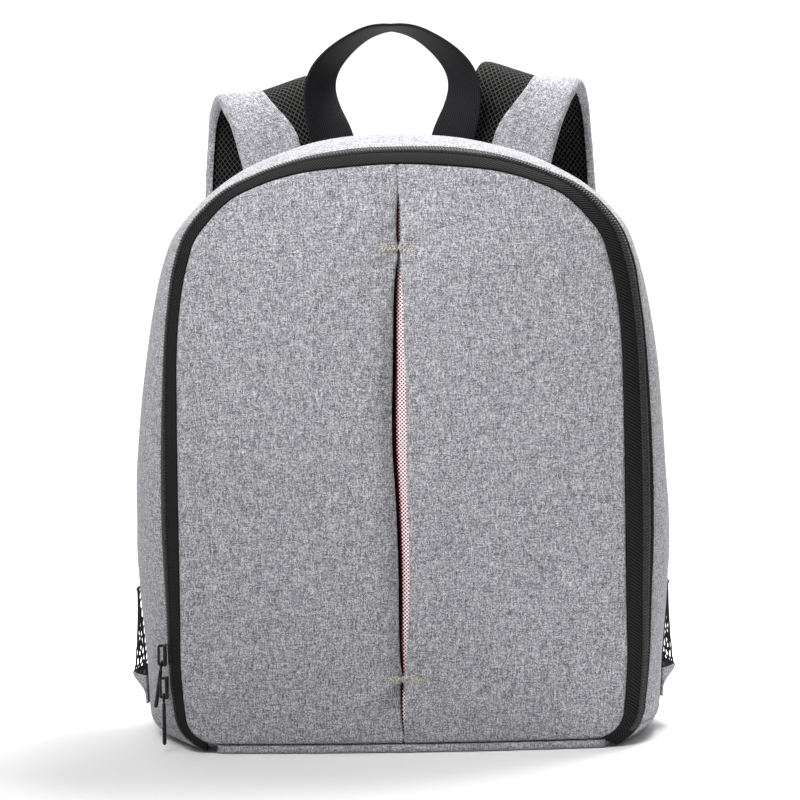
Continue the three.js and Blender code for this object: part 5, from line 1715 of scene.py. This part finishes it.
@dataclass
class ShoulderStrap:
    """One padded strap with its cloth cover, and the webbing that runs round its adjuster."""

    form: BodyForm
    finishes: Finishes
    side: Side
    lift: float = 3.5
    width: float = 60.0
    thickness: float = 6.5
    rise: float = 36.0
    drop: float = 218.0
    root: float = 30.0
    spread: float = 94.0
    reach: float = 60.0
    tilt: float = 17.0
    lift_out: float = 0.6
    cover_width: float = 36.0
    cover_thickness: float = 1.2
    cover_wrap: float = 0.4
    cover_inset: float = 2.2
    cover_narrow: float = 0.30
    cover_gap: float = 0.5
    cover_points: int = 40
    wrinkle_span: float = 70.0
    slow_wrinkle: tuple = (0.5, 16.0, 31)
    quick_wrinkle: tuple = (0.22, 6.0, 33)
    handle_thickness: float = 2.0
    pad_points: int = 48
    edge_bluntness: float = 4.5
    face_bluntness: float = 2.6
    webbing_width: float = 20.0
    webbing_thickness: float = 1.6
    lock_bar: float = 4.0
    lock_slot: float = 6.0
    lock_plate: float = 3.0
    tail_lead: float = 12.0
    tail_hang: float = 0.35
    anchor_in: float = 26.0
    anchor_up: float = 28.0
    rows: Array = field(default_factory=lambda: np.array([
        # out, reach, over, under, root, tilt and width, as shares of the sizes of those names
        (0.64, 0.00, 0.00, 0.00, 1.0, 0.0, 1.00), (0.65, 0.00, 0.00, 0.00, 0.2, 0.2, 1.00),
        (0.69, 0.02, 0.12, 0.00, 0.0, 0.5, 1.00), (0.76, 0.12, 0.60, 0.00, 0.0, 0.9, 1.00),
        (0.83, 0.34, 0.94, 0.00, 0.0, 1.0, 1.00), (0.89, 0.60, 1.00, 0.00, 0.0, 1.0, 1.00),
        (0.94, 0.84, 1.00, 0.06, 0.0, 0.9, 1.00), (0.97, 0.97, 1.00, 0.17, 0.0, 0.5, 1.00),
        (0.99, 1.00, 1.00, 0.32, 0.0, 0.2, 1.00), (1.00, 0.97, 1.00, 0.53, 0.0, 0.0, 0.98),
        (1.00, 0.88, 1.00, 0.73, 0.0, 0.0, 0.92), (0.99, 0.76, 1.00, 0.90, 0.0, 0.0, 0.80),
        (0.98, 0.68, 1.00, 1.00, 0.0, 0.0, 0.62),
    ]))

    def top_at(self, x: float) -> float:
        """Height of the body's last section at a distance from its middle line."""
        line = self.form.section(1.0, np.linspace(0.5, 0.9, 400))
        return float(np.interp(x, line[:, 0], line[:, 2]))

    def frames(self, steps: int = 300) -> tuple[Array, Array, Array, Array]:
        """The strap's middle line with its directions and widths.

        Args:
            steps: Number of points.

        Returns:
            The path, the directions across and out, and the width at each point.
        """
        form, sign = self.form, self.side.value
        lift = sign * self.lift
        out, reach, over, under, root, tilt, width = self.rows.T
        start = self.top_at(self.spread * out[0])
        climb = form.body_top + self.rise + lift - start
        x = sign * (out * self.spread + lift * over * self.lift_out)
        under_pad = self.handle_thickness + self.cover_thickness + 3 * form.seam_gap
        root_y = form.back_face + under_pad + self.thickness / 2
        y = root_y + reach * (self.reach - self.thickness)
        z = start - root * self.root + over * climb - under * self.drop
        nodes = np.stack([x, y, z], axis=1)
        places = root_places(nodes)
        fine = np.linspace(0, places[-1], steps)
        path = smooth_through(places, nodes, fine)
        extra = smooth_through(places, np.stack([tilt, width], axis=1), fine)
        lean = np.radians(self.tilt * extra[:, 0])
        hint = np.stack([sign * np.cos(lean), 0 * lean, -np.sin(lean)], axis=1)
        _, across, face = path_frames(path, hint)
        return path, across, face * sign, self.width * extra[:, 1]

    def pad_section(self, width: Array) -> Array:
        """The pad's section at each width: a flat oval, blunt at its two edges and round over its faces."""
        turn = np.linspace(0, 2 * np.pi, self.pad_points, endpoint=False)
        x = width[:, None] / 2 * signed_power(np.cos(turn), 2 / self.edge_bluntness)
        y = self.thickness / 2 * signed_power(np.sin(turn), 2 / self.face_bluntness)
        return np.stack([x, np.broadcast_to(y, x.shape)], axis=-1)

    def build_pad(self) -> None:
        """Makes the mesh pad of the strap."""
        path, across, out, width = self.frames()
        surface = Surface(f"strap_mesh_{self.side.word}")
        surface.tube(carried(path, across, out, self.pad_section(width)))
        piece = surface.build(self.finishes.air_mesh)
        settle(piece, (f"strap_pad_{self.side.word}",))

    def cover_line(self, width: Array, cover: Array, lift: float) -> Array:
        """The cover's line over the outer face, round the outer edge and a little way under.

        Args:
            width: Widths along the strap, shape (n,).
            cover: Widths of the cover's flat part and edge, shape (n,).
            lift: Distance from the pad's surface.

        Returns:
            Places across and out, shape (n, cover_points, 2).
        """
        rise = self.thickness / 2 + lift
        rim = (width / 2 - self.cover_inset)[:, None]
        seam = (width / 2 - cover * width / self.width)[:, None]
        arc = np.pi * rise
        run = np.linspace(0, 1, self.cover_points)[None] * (rim - seam + arc + self.cover_wrap)
        past_rim = run - (rim - seam)
        past_arc = past_rim - arc
        angle = np.clip(past_rim / rise, 0, np.pi)
        x = np.where(past_rim < 0, seam + run, rim + np.sin(angle) * (self.cover_inset + lift))
        x = np.where(past_arc < 0, x, rim - past_arc)
        y = np.where(past_arc < 0, np.cos(angle) * rise, -rise)
        return np.stack([x, y], axis=-1)

    def build_cover(self) -> None:
        """Makes the cloth cover as a thin wall round the strap's outer edge, slightly wrinkled."""
        path, across, out, width = self.frames()
        body_top = self.form.body_top
        level = (path[:, 2] - body_top) / (path[:, 2].max() - body_top)
        cover = self.cover_width * (1 - self.cover_narrow * eased(level))
        top = self.cover_gap + self.cover_thickness
        outer = carried(path, across, out, self.cover_line(width, cover, top))
        inner = carried(path, across, out, self.cover_line(width, cover, self.cover_gap))
        normals = unit(outer - inner)
        run = chord_places(path)[:, None] * np.ones((1, self.cover_points))
        place = np.linspace(0, self.wrinkle_span, self.cover_points)[None, :] * np.ones((len(path), 1))
        height, size, seed = self.slow_wrinkle
        layers = ((height, size, seed + self.side.value), self.quick_wrinkle)
        outer = outer + normals * layered_noise(run, place, layers)[..., None]
        surface = Surface(f"strap_cloth_{self.side.word}")
        surface.wall(outer, normals, self.cover_thickness)
        piece = surface.build(self.finishes.cloth)
        settle(piece, (f"strap_cover_{self.side.word}",))

    def build(self) -> None:
        """Makes the pad, the cover, and the webbing at the lower end."""
        self.build_pad()
        self.build_cover()
        self.build_webbing()

    def build_webbing(self) -> None:
        """Makes the short loop and the long webbing, which run round the ladder lock's bars.

        Each ribbon runs round its bar as a half circle. The free end leaves the lower bar along a
        cubic curve that settles upright on the back.
        """
        form, sign, word = self.form, self.side.value, self.side.word
        gap, thick, bar = form.seam_gap, self.webbing_thickness, self.lock_bar
        path, across, out, _ = self.frames()
        end, cross, face = path[-1], across[-1], out[-1]
        along = unit(path[-1] - path[-3])
        top = end + along * (thick + 2 * gap)
        radius = max(bar, self.lock_plate) / 2 + gap + thick

        def half_turn(centre: Array, start: float, stop: float) -> Array:
            """Half circle round a bar of the lock, between two angles in degrees."""
            angle = np.radians(np.linspace(start, stop, 14))[:, None]
            return centre + radius * (np.cos(angle) * face + np.sin(angle) * along)

        section = ribbon_section(self.webbing_width, thick, 8)
        upper = half_turn(top + along * bar / 2, 0, 180)
        legs = [end + along * gap + face * radius, end + along * gap - face * radius]
        loop = np.concatenate([legs[:1], upper, legs[1:]])
        low_bar = top + along * (3 * bar + 2 * self.lock_slot - bar / 2)
        lower = half_turn(low_bar, 180, 360)
        start = low_bar - face * radius + along * self.tail_lead
        leave = low_bar + face * radius + along * self.tail_lead
        anchor_x = form.rim_half + form.side_flare * BODY_ROWS[-1].flare - self.anchor_in
        anchor = np.array([sign * anchor_x, form.back_face + gap + thick / 2, self.anchor_up])
        upright = np.array([0.0, 0.0, self.webbing_width])
        landing = anchor + upright
        hang = leave + along * np.linalg.norm(landing - leave) * self.tail_hang
        t = np.linspace(0, 1, 60)[:, None]
        free = (
            (1 - t) ** 3 * leave + 3 * (1 - t) ** 2 * t * hang
            + 3 * (1 - t) * t * t * (landing + upright) + t ** 3 * landing
        )
        long_path = np.concatenate([start[None], lower, free, anchor[None]])
        pieces = (
            (f"strap_loop_{word}", loop, f"buckle_loop_{word}"),
            (f"strap_tail_{word}", long_path, f"strap_webbing_{word}"),
        )
        for name, line, node in pieces:
            _, sideways, up = path_frames(line, cross)
            surface = Surface(name)
            surface.tube(carried(line, sideways, up, section))
            settle(surface.build(self.finishes.webbing), (node,))


# Side pockets

@dataclass
class SidePocket:
    """Pocket of coarse net over a cloth foot."""

    form: BodyForm
    finishes: Finishes
    side: Side
    foot_up: float = 19.0
    net_up: float = 36.0
    top_up: float = 86.0
    bulge: float = 10.8
    rim_share: float = 0.25
    seam_standoff: float = 0.6
    arch: float = 1.25
    foot_thickness: float = 1.5
    yarn: float = 0.40
    cell: float = 5.6
    yarn_step: float = 0.4
    knot_sharpness: float = 2.2
    knot_swing: float = 0.20
    wobble: float = 0.16
    wobble_size: float = 3.0
    lower_hem: float = 0.7
    upper_hem: float = 0.9
    side_hem: float = 0.6

    def front(self) -> float:
        """Depth of the pocket's front seam, at the widest section of the body."""
        form = self.form
        return form.rim_y + (form.side_end - form.rim_y) * form.widest

    def face(self, across: Array, up: Array) -> Array:
        """The pocket's inner face.

        It stands off the body by a half sine from front to back, growing up the foot and easing
        towards the top.

        Args:
            across: Shares from front to back, shape (m,).
            up: Heights in millimetres, shape (n,).

        Returns:
            Points of shape (n, m, 3).
        """
        form = self.form
        y = self.front() + (form.side_end - self.front()) * across
        full = np.where(
            up < self.net_up,
            eased((up - self.foot_up) / (self.net_up - self.foot_up)),
            1 + (self.rim_share - 1) * (up - self.net_up) / (self.top_up - self.net_up),
        )
        bow = np.minimum(1, self.arch * np.sin(np.pi * across))
        x = form.side_at(self.side, y, up) + self.seam_standoff + self.bulge * full[:, None] * bow[None]
        grid_y = np.broadcast_to(y, x.shape)
        grid_z = np.broadcast_to(up[:, None], x.shape)
        return np.stack([self.side.value * x, grid_y, grid_z], axis=-1)

    def build_foot(self) -> None:
        """Makes the cloth foot, folded in at its lower edge."""
        up = np.linspace(self.foot_up, self.net_up - self.form.seam_gap, 24)
        inner = self.face(np.linspace(0, 1, 61), up)
        normals = grid_normals(inner, np.array([float(self.side.value), 0.0, 0.0]))
        surface = Surface(f"pocket_cloth_{self.side.word}")
        surface.wall(inner + normals * self.foot_thickness, normals, self.foot_thickness)
        piece = surface.build(self.finishes.cloth)
        flat_uv(piece, (1, 2))
        settle(piece, (f"pocket_foot_{self.side.word}",))

    def build_net(self) -> None:
        """Makes the net: two sets of slanting yarns that swing towards each other at each knot, and a hem."""
        width = self.form.side_end - self.front()
        height = self.top_up - self.net_up
        grid = self.face(np.linspace(0, 1, 60), np.linspace(self.net_up, self.top_up, 50))

        def on_face(u: Array, v: Array) -> Array:
            """Point of the face at shares across and up, straight between the grid's points."""
            rows, columns = grid.shape[:2]
            a, b = np.clip(u, 0, 1) * (columns - 1), np.clip(v, 0, 1) * (rows - 1)
            i, j = np.minimum(a.astype(int), columns - 2), np.minimum(b.astype(int), rows - 2)
            s, t = (a - i)[..., None], (b - j)[..., None]
            low = grid[j, i] * (1 - s) + grid[j, i + 1] * s
            high = grid[j + 1, i] * (1 - s) + grid[j + 1, i + 1] * s
            return low * (1 - t) + high * t

        surface = Surface(f"pocket_yarn_{self.side.word}")
        out = np.array([float(self.side.value), 0.0, 0.0])
        rise = np.linspace(0, 1, int(height / self.yarn_step))
        count = round(width / self.cell)
        wave = np.tanh(self.knot_sharpness * np.cos(rise * height / self.cell * np.pi))
        for k in range(count):
            for lean in (0, 1):
                middle = (k + 0.5 + lean * 0.5) / count
                swing = (1 - 2 * lean) * wave * self.knot_swing / count
                shake = soft_noise(rise * 50, rise * 0 + k * 7.0 + lean * 3, self.wobble_size, 41)
                u = middle + swing + self.wobble / count * shake
                if u.max() < 1:
                    surface.tube(round_loops(on_face(u, rise), self.yarn, 5, out))
        for level, size in ((0.0, self.lower_hem), (1.0, self.upper_hem)):
            u = np.linspace(0, 1, 110)
            surface.tube(round_loops(on_face(u, u * 0 + level), size, 8, out))
        for edge in (0.0, 1.0):
            surface.tube(round_loops(on_face(rise * 0 + edge, rise), self.side_hem, 8, out))
        settle(surface.build(self.finishes.net), (f"pocket_net_{self.side.word}",))

    def build(self) -> None:
        """Makes the foot and the net."""
        self.build_foot()
        self.build_net()


# Hard parts

@dataclass
class ZipPull:
    """A slender rounded pull: an eye round the slider's bridge and a rod that hangs from it."""

    name: str
    place: tuple
    finishes: Finishes
    lean: float = 0.0
    aside: float = 0.0
    eye_half: float = 1.95
    eye_length: float = 4.7
    wire: float = 0.6
    length: float = 29.0
    half_width: float = 1.4
    half_depth: float = 1.2
    eye_squareness: float = 0.7
    end_squareness: int = 24
    end_size: float = 0.12
    lower_size: float = 0.86

    def turned(self, points: Array) -> Array:
        """Points of the upright pull, leaned outwards and laid aside, at its bar."""
        outwards = Matrix.Rotation(np.radians(self.lean), 3, "Y")
        sideways = Matrix.Rotation(np.radians(self.aside), 3, "X")
        return points @ np.array(outwards @ sideways).T + np.array(self.place)

    def build(self) -> None:
        """Makes the eye as a rounded ring and the rod as a flat oval with domed ends."""
        turn = np.linspace(0, 2 * np.pi, 40, endpoint=False)
        half_eye = self.eye_length / 2
        y = self.eye_half * signed_power(np.cos(turn), self.eye_squareness)
        z = half_eye * signed_power(np.sin(turn), self.eye_squareness) - half_eye
        eye = np.stack([0 * y, y, z], axis=1)
        away = unit(eye - np.array([0.0, 0.0, -half_eye]))
        around = round_angles(10)[None, :, None]
        side = np.array([1.0, 0.0, 0.0])
        ring = eye[:, None] + self.wire * (np.cos(around) * away[:, None] + np.sin(around) * side)
        share = np.linspace(-1, 1, 60)
        height = -(self.eye_length + self.length) / 2 - share * (self.length - self.eye_length) / 2
        size = np.maximum((1 - np.abs(share) ** self.end_squareness) ** 0.5, self.end_size)
        size = size * (self.lower_size + (1 - self.lower_size) * (share + 1) / 2)
        oval = round_angles(16)
        rod_x = size[:, None] * self.half_depth * np.cos(oval)
        rod_y = size[:, None] * self.half_width * np.sin(oval)
        rod = np.stack([rod_x, rod_y, np.broadcast_to(height[:, None], rod_x.shape)], axis=-1)
        surface = Surface(f"{self.name}_metal")
        surface.ring(self.turned(ring))
        surface.tube(self.turned(rod))
        settle(surface.build(self.finishes.metal), (self.name,), self.name)


@dataclass
class Hardware:
    """Sliders and adjusters as refined copies of their solids, and the two pulls."""

    finishes: Finishes
    solids: tuple = (
        # node, slot, distance that its faces move out and radius of its edges, both in millimetres
        ("slider_upper", "black_metal", 0.18, 0.45), ("slider_lower", "black_metal", 0.18, 0.45),
        ("adjuster_left", "black_plastic", 0.0, 0.6), ("adjuster_right", "black_plastic", 0.0, 0.6),
    )
    merge_reach: float = 0.00002
    flat_angle: float = 0.02
    edge_angle: float = 0.5

    def refine(self, node: str, slot: str, swell: float, bevel: float) -> None:
        """Copies a node's mesh, merges its triangles into flat faces, swells it and rounds its edges.

        Args:
            node: The CAD node.
            slot: Its material slot.
            swell: Distance by which its faces move out, in millimetres.
            bevel: Radius of the rounded edges in millimetres.
        """
        finish = self.finishes.metal if slot == "black_metal" else self.finishes.plastic
        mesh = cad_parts[node].data.copy()
        mesh.name = f"{node}_rounded"
        mesh.materials.clear()
        mesh.materials.append(finish)
        piece = bpy.data.objects.new(mesh.name, mesh)
        bpy.context.scene.collection.objects.link(piece)
        weld = piece.modifiers.new("merged", "WELD")
        weld.merge_threshold = self.merge_reach
        flat = piece.modifiers.new("flat", "DECIMATE")
        flat.decimate_type = "DISSOLVE"
        flat.angle_limit = self.flat_angle
        if swell:
            fuller = piece.modifiers.new("fuller", "DISPLACE")
            fuller.strength = swell * MM
            fuller.mid_level = 0.0
        edges = piece.modifiers.new("rounded", "BEVEL")
        edges.width = bevel * MM
        edges.segments = 3
        edges.limit_method = "ANGLE"
        edges.angle_limit = self.edge_angle
        settle(piece, (node,))

    def build(self) -> None:
        """Makes the refined pieces and the pulls, each at its hinge in the record."""
        for node, slot, swell, bevel in self.solids:
            self.refine(node, slot, swell, bevel)
        ZipPull("pull_upper", (-136.953, -51.336, 51.350), self.finishes, lean=10.0, aside=17.0).build()
        ZipPull("pull_lower", (-136.234, -50.814, 32.850), self.finishes).build()


# Studio

@dataclass(frozen=True)
class SoftLight:
    """One rectangular light: its place, aim and size in metres, its watts and its beam in degrees."""

    name: str
    place: tuple
    aim: tuple
    size: tuple
    power: float
    spread: float = 180.0

    def build(self) -> None:
        """Adds the light, turned towards its aim."""
        data = bpy.data.lights.new(self.name, "AREA")
        data.shape = "RECTANGLE"
        data.size, data.size_y = self.size
        data.energy = self.power
        data.spread = np.radians(self.spread)
        lamp = bpy.data.objects.new(self.name, data)
        bpy.context.scene.collection.objects.link(lamp)
        lamp.matrix_world = facing(self.place, self.aim)


LIGHTS = (
    SoftLight("top_light", (0.35, 0.42, 1.35), (0.0, 0.05, 0.25), (0.6, 0.5), 25.0),
    SoftLight("front_light", (-0.36, -0.68, 0.98), (0.10, 0.0, 0.42), (0.5, 0.4), 2.9, 72.0),
    SoftLight("back_light", (0.0, 1.6, 2.6), (0.0, 3.0, 0.6), (4.0, 1.0), 90.0),
)


def facing(place: tuple, aim: tuple) -> Matrix:
    """Matrix of an object that stands at a place and looks at an aim."""
    view = Vector(aim) - Vector(place)
    return Matrix.Translation(place) @ view.to_track_quat("-Z", "Y").to_matrix().to_4x4()


@dataclass
class Studio:
    """Pale floor, soft lights and the camera at the photograph's angle."""

    camera_place: tuple = (0.0, -1.370, 0.242)
    camera_aim: tuple = (0.0, -0.070, 0.198)
    focal: float = 105.4
    sensor: float = 36.0
    roll: float = 0.875
    floor_colour: tuple = (0.92, 0.92, 0.92)
    floor_near: float = -4000.0
    floor_reach: float = 2600.0
    floor_half: float = 6000.0
    floor_drop: float = 0.3
    wall_radius: float = 900.0
    wall_top: float = 5000.0
    world_strength: float = 0.26

    def build_camera(self) -> None:
        """Places the camera, turned about its own view so that the bag leans a little to the left."""
        data = bpy.data.cameras.new("camera")
        data.lens = self.focal
        data.sensor_width = self.sensor
        camera = bpy.data.objects.new("camera", data)
        bpy.context.scene.collection.objects.link(camera)
        roll = Matrix.Rotation(np.radians(-self.roll), 4, "Z")
        camera.matrix_world = facing(self.camera_place, self.camera_aim) @ roll
        bpy.context.scene.camera = camera

    def build_floor(self) -> None:
        """Makes the floor, which curves up into a wall far behind the bag."""
        turn = np.linspace(0, np.pi / 2, 24)
        radius, reach = self.wall_radius, self.floor_reach
        y = np.concatenate([[self.floor_near], reach + radius * np.sin(turn), [reach + radius]])
        z = np.concatenate([[0.0], radius * (1 - np.cos(turn)), [self.wall_top]])
        line = np.stack([np.zeros_like(y), y, z - self.floor_drop], axis=1)
        half = self.floor_half
        surface = Surface("floor")
        surface.grid(np.stack([line + np.array([x, 0.0, 0.0]) for x in (half, -half)], axis=1))
        graph = Graph("pale_floor", roughness=0.8)
        graph.colour(self.floor_colour)
        surface.build(graph.material)

    def build(self) -> None:
        """Makes the camera, the floor, the lights and the pale surroundings."""
        self.build_camera()
        self.build_floor()
        for light in LIGHTS:
            light.build()
        world = bpy.data.worlds.new("studio")
        world.use_nodes = True
        background = world.node_tree.nodes["Background"]
        background.inputs["Color"].default_value = (1.0, 1.0, 1.0, 1.0)
        background.inputs["Strength"].default_value = self.world_strength
        bpy.context.scene.world = world
        bpy.context.scene.view_settings.view_transform = "Standard"


def main() -> None:
    """Builds the studio and every part of the bag."""
    logging.basicConfig(level=logging.INFO, format="%(name)s: %(message)s")
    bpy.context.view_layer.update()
    Studio().build()
    form = BodyForm()
    finishes = Finishes()
    FrontPanel(form, finishes).build()
    Zip(form, finishes).build()
    Shell(form, finishes).build()
    TopHandle(form, finishes).build()
    for side in Side:
        ShoulderStrap(form, finishes, side).build()
    for side in Side:
        SidePocket(form, finishes, side).build()
    Hardware(finishes).build()


if __name__ == "__main__":
    main()
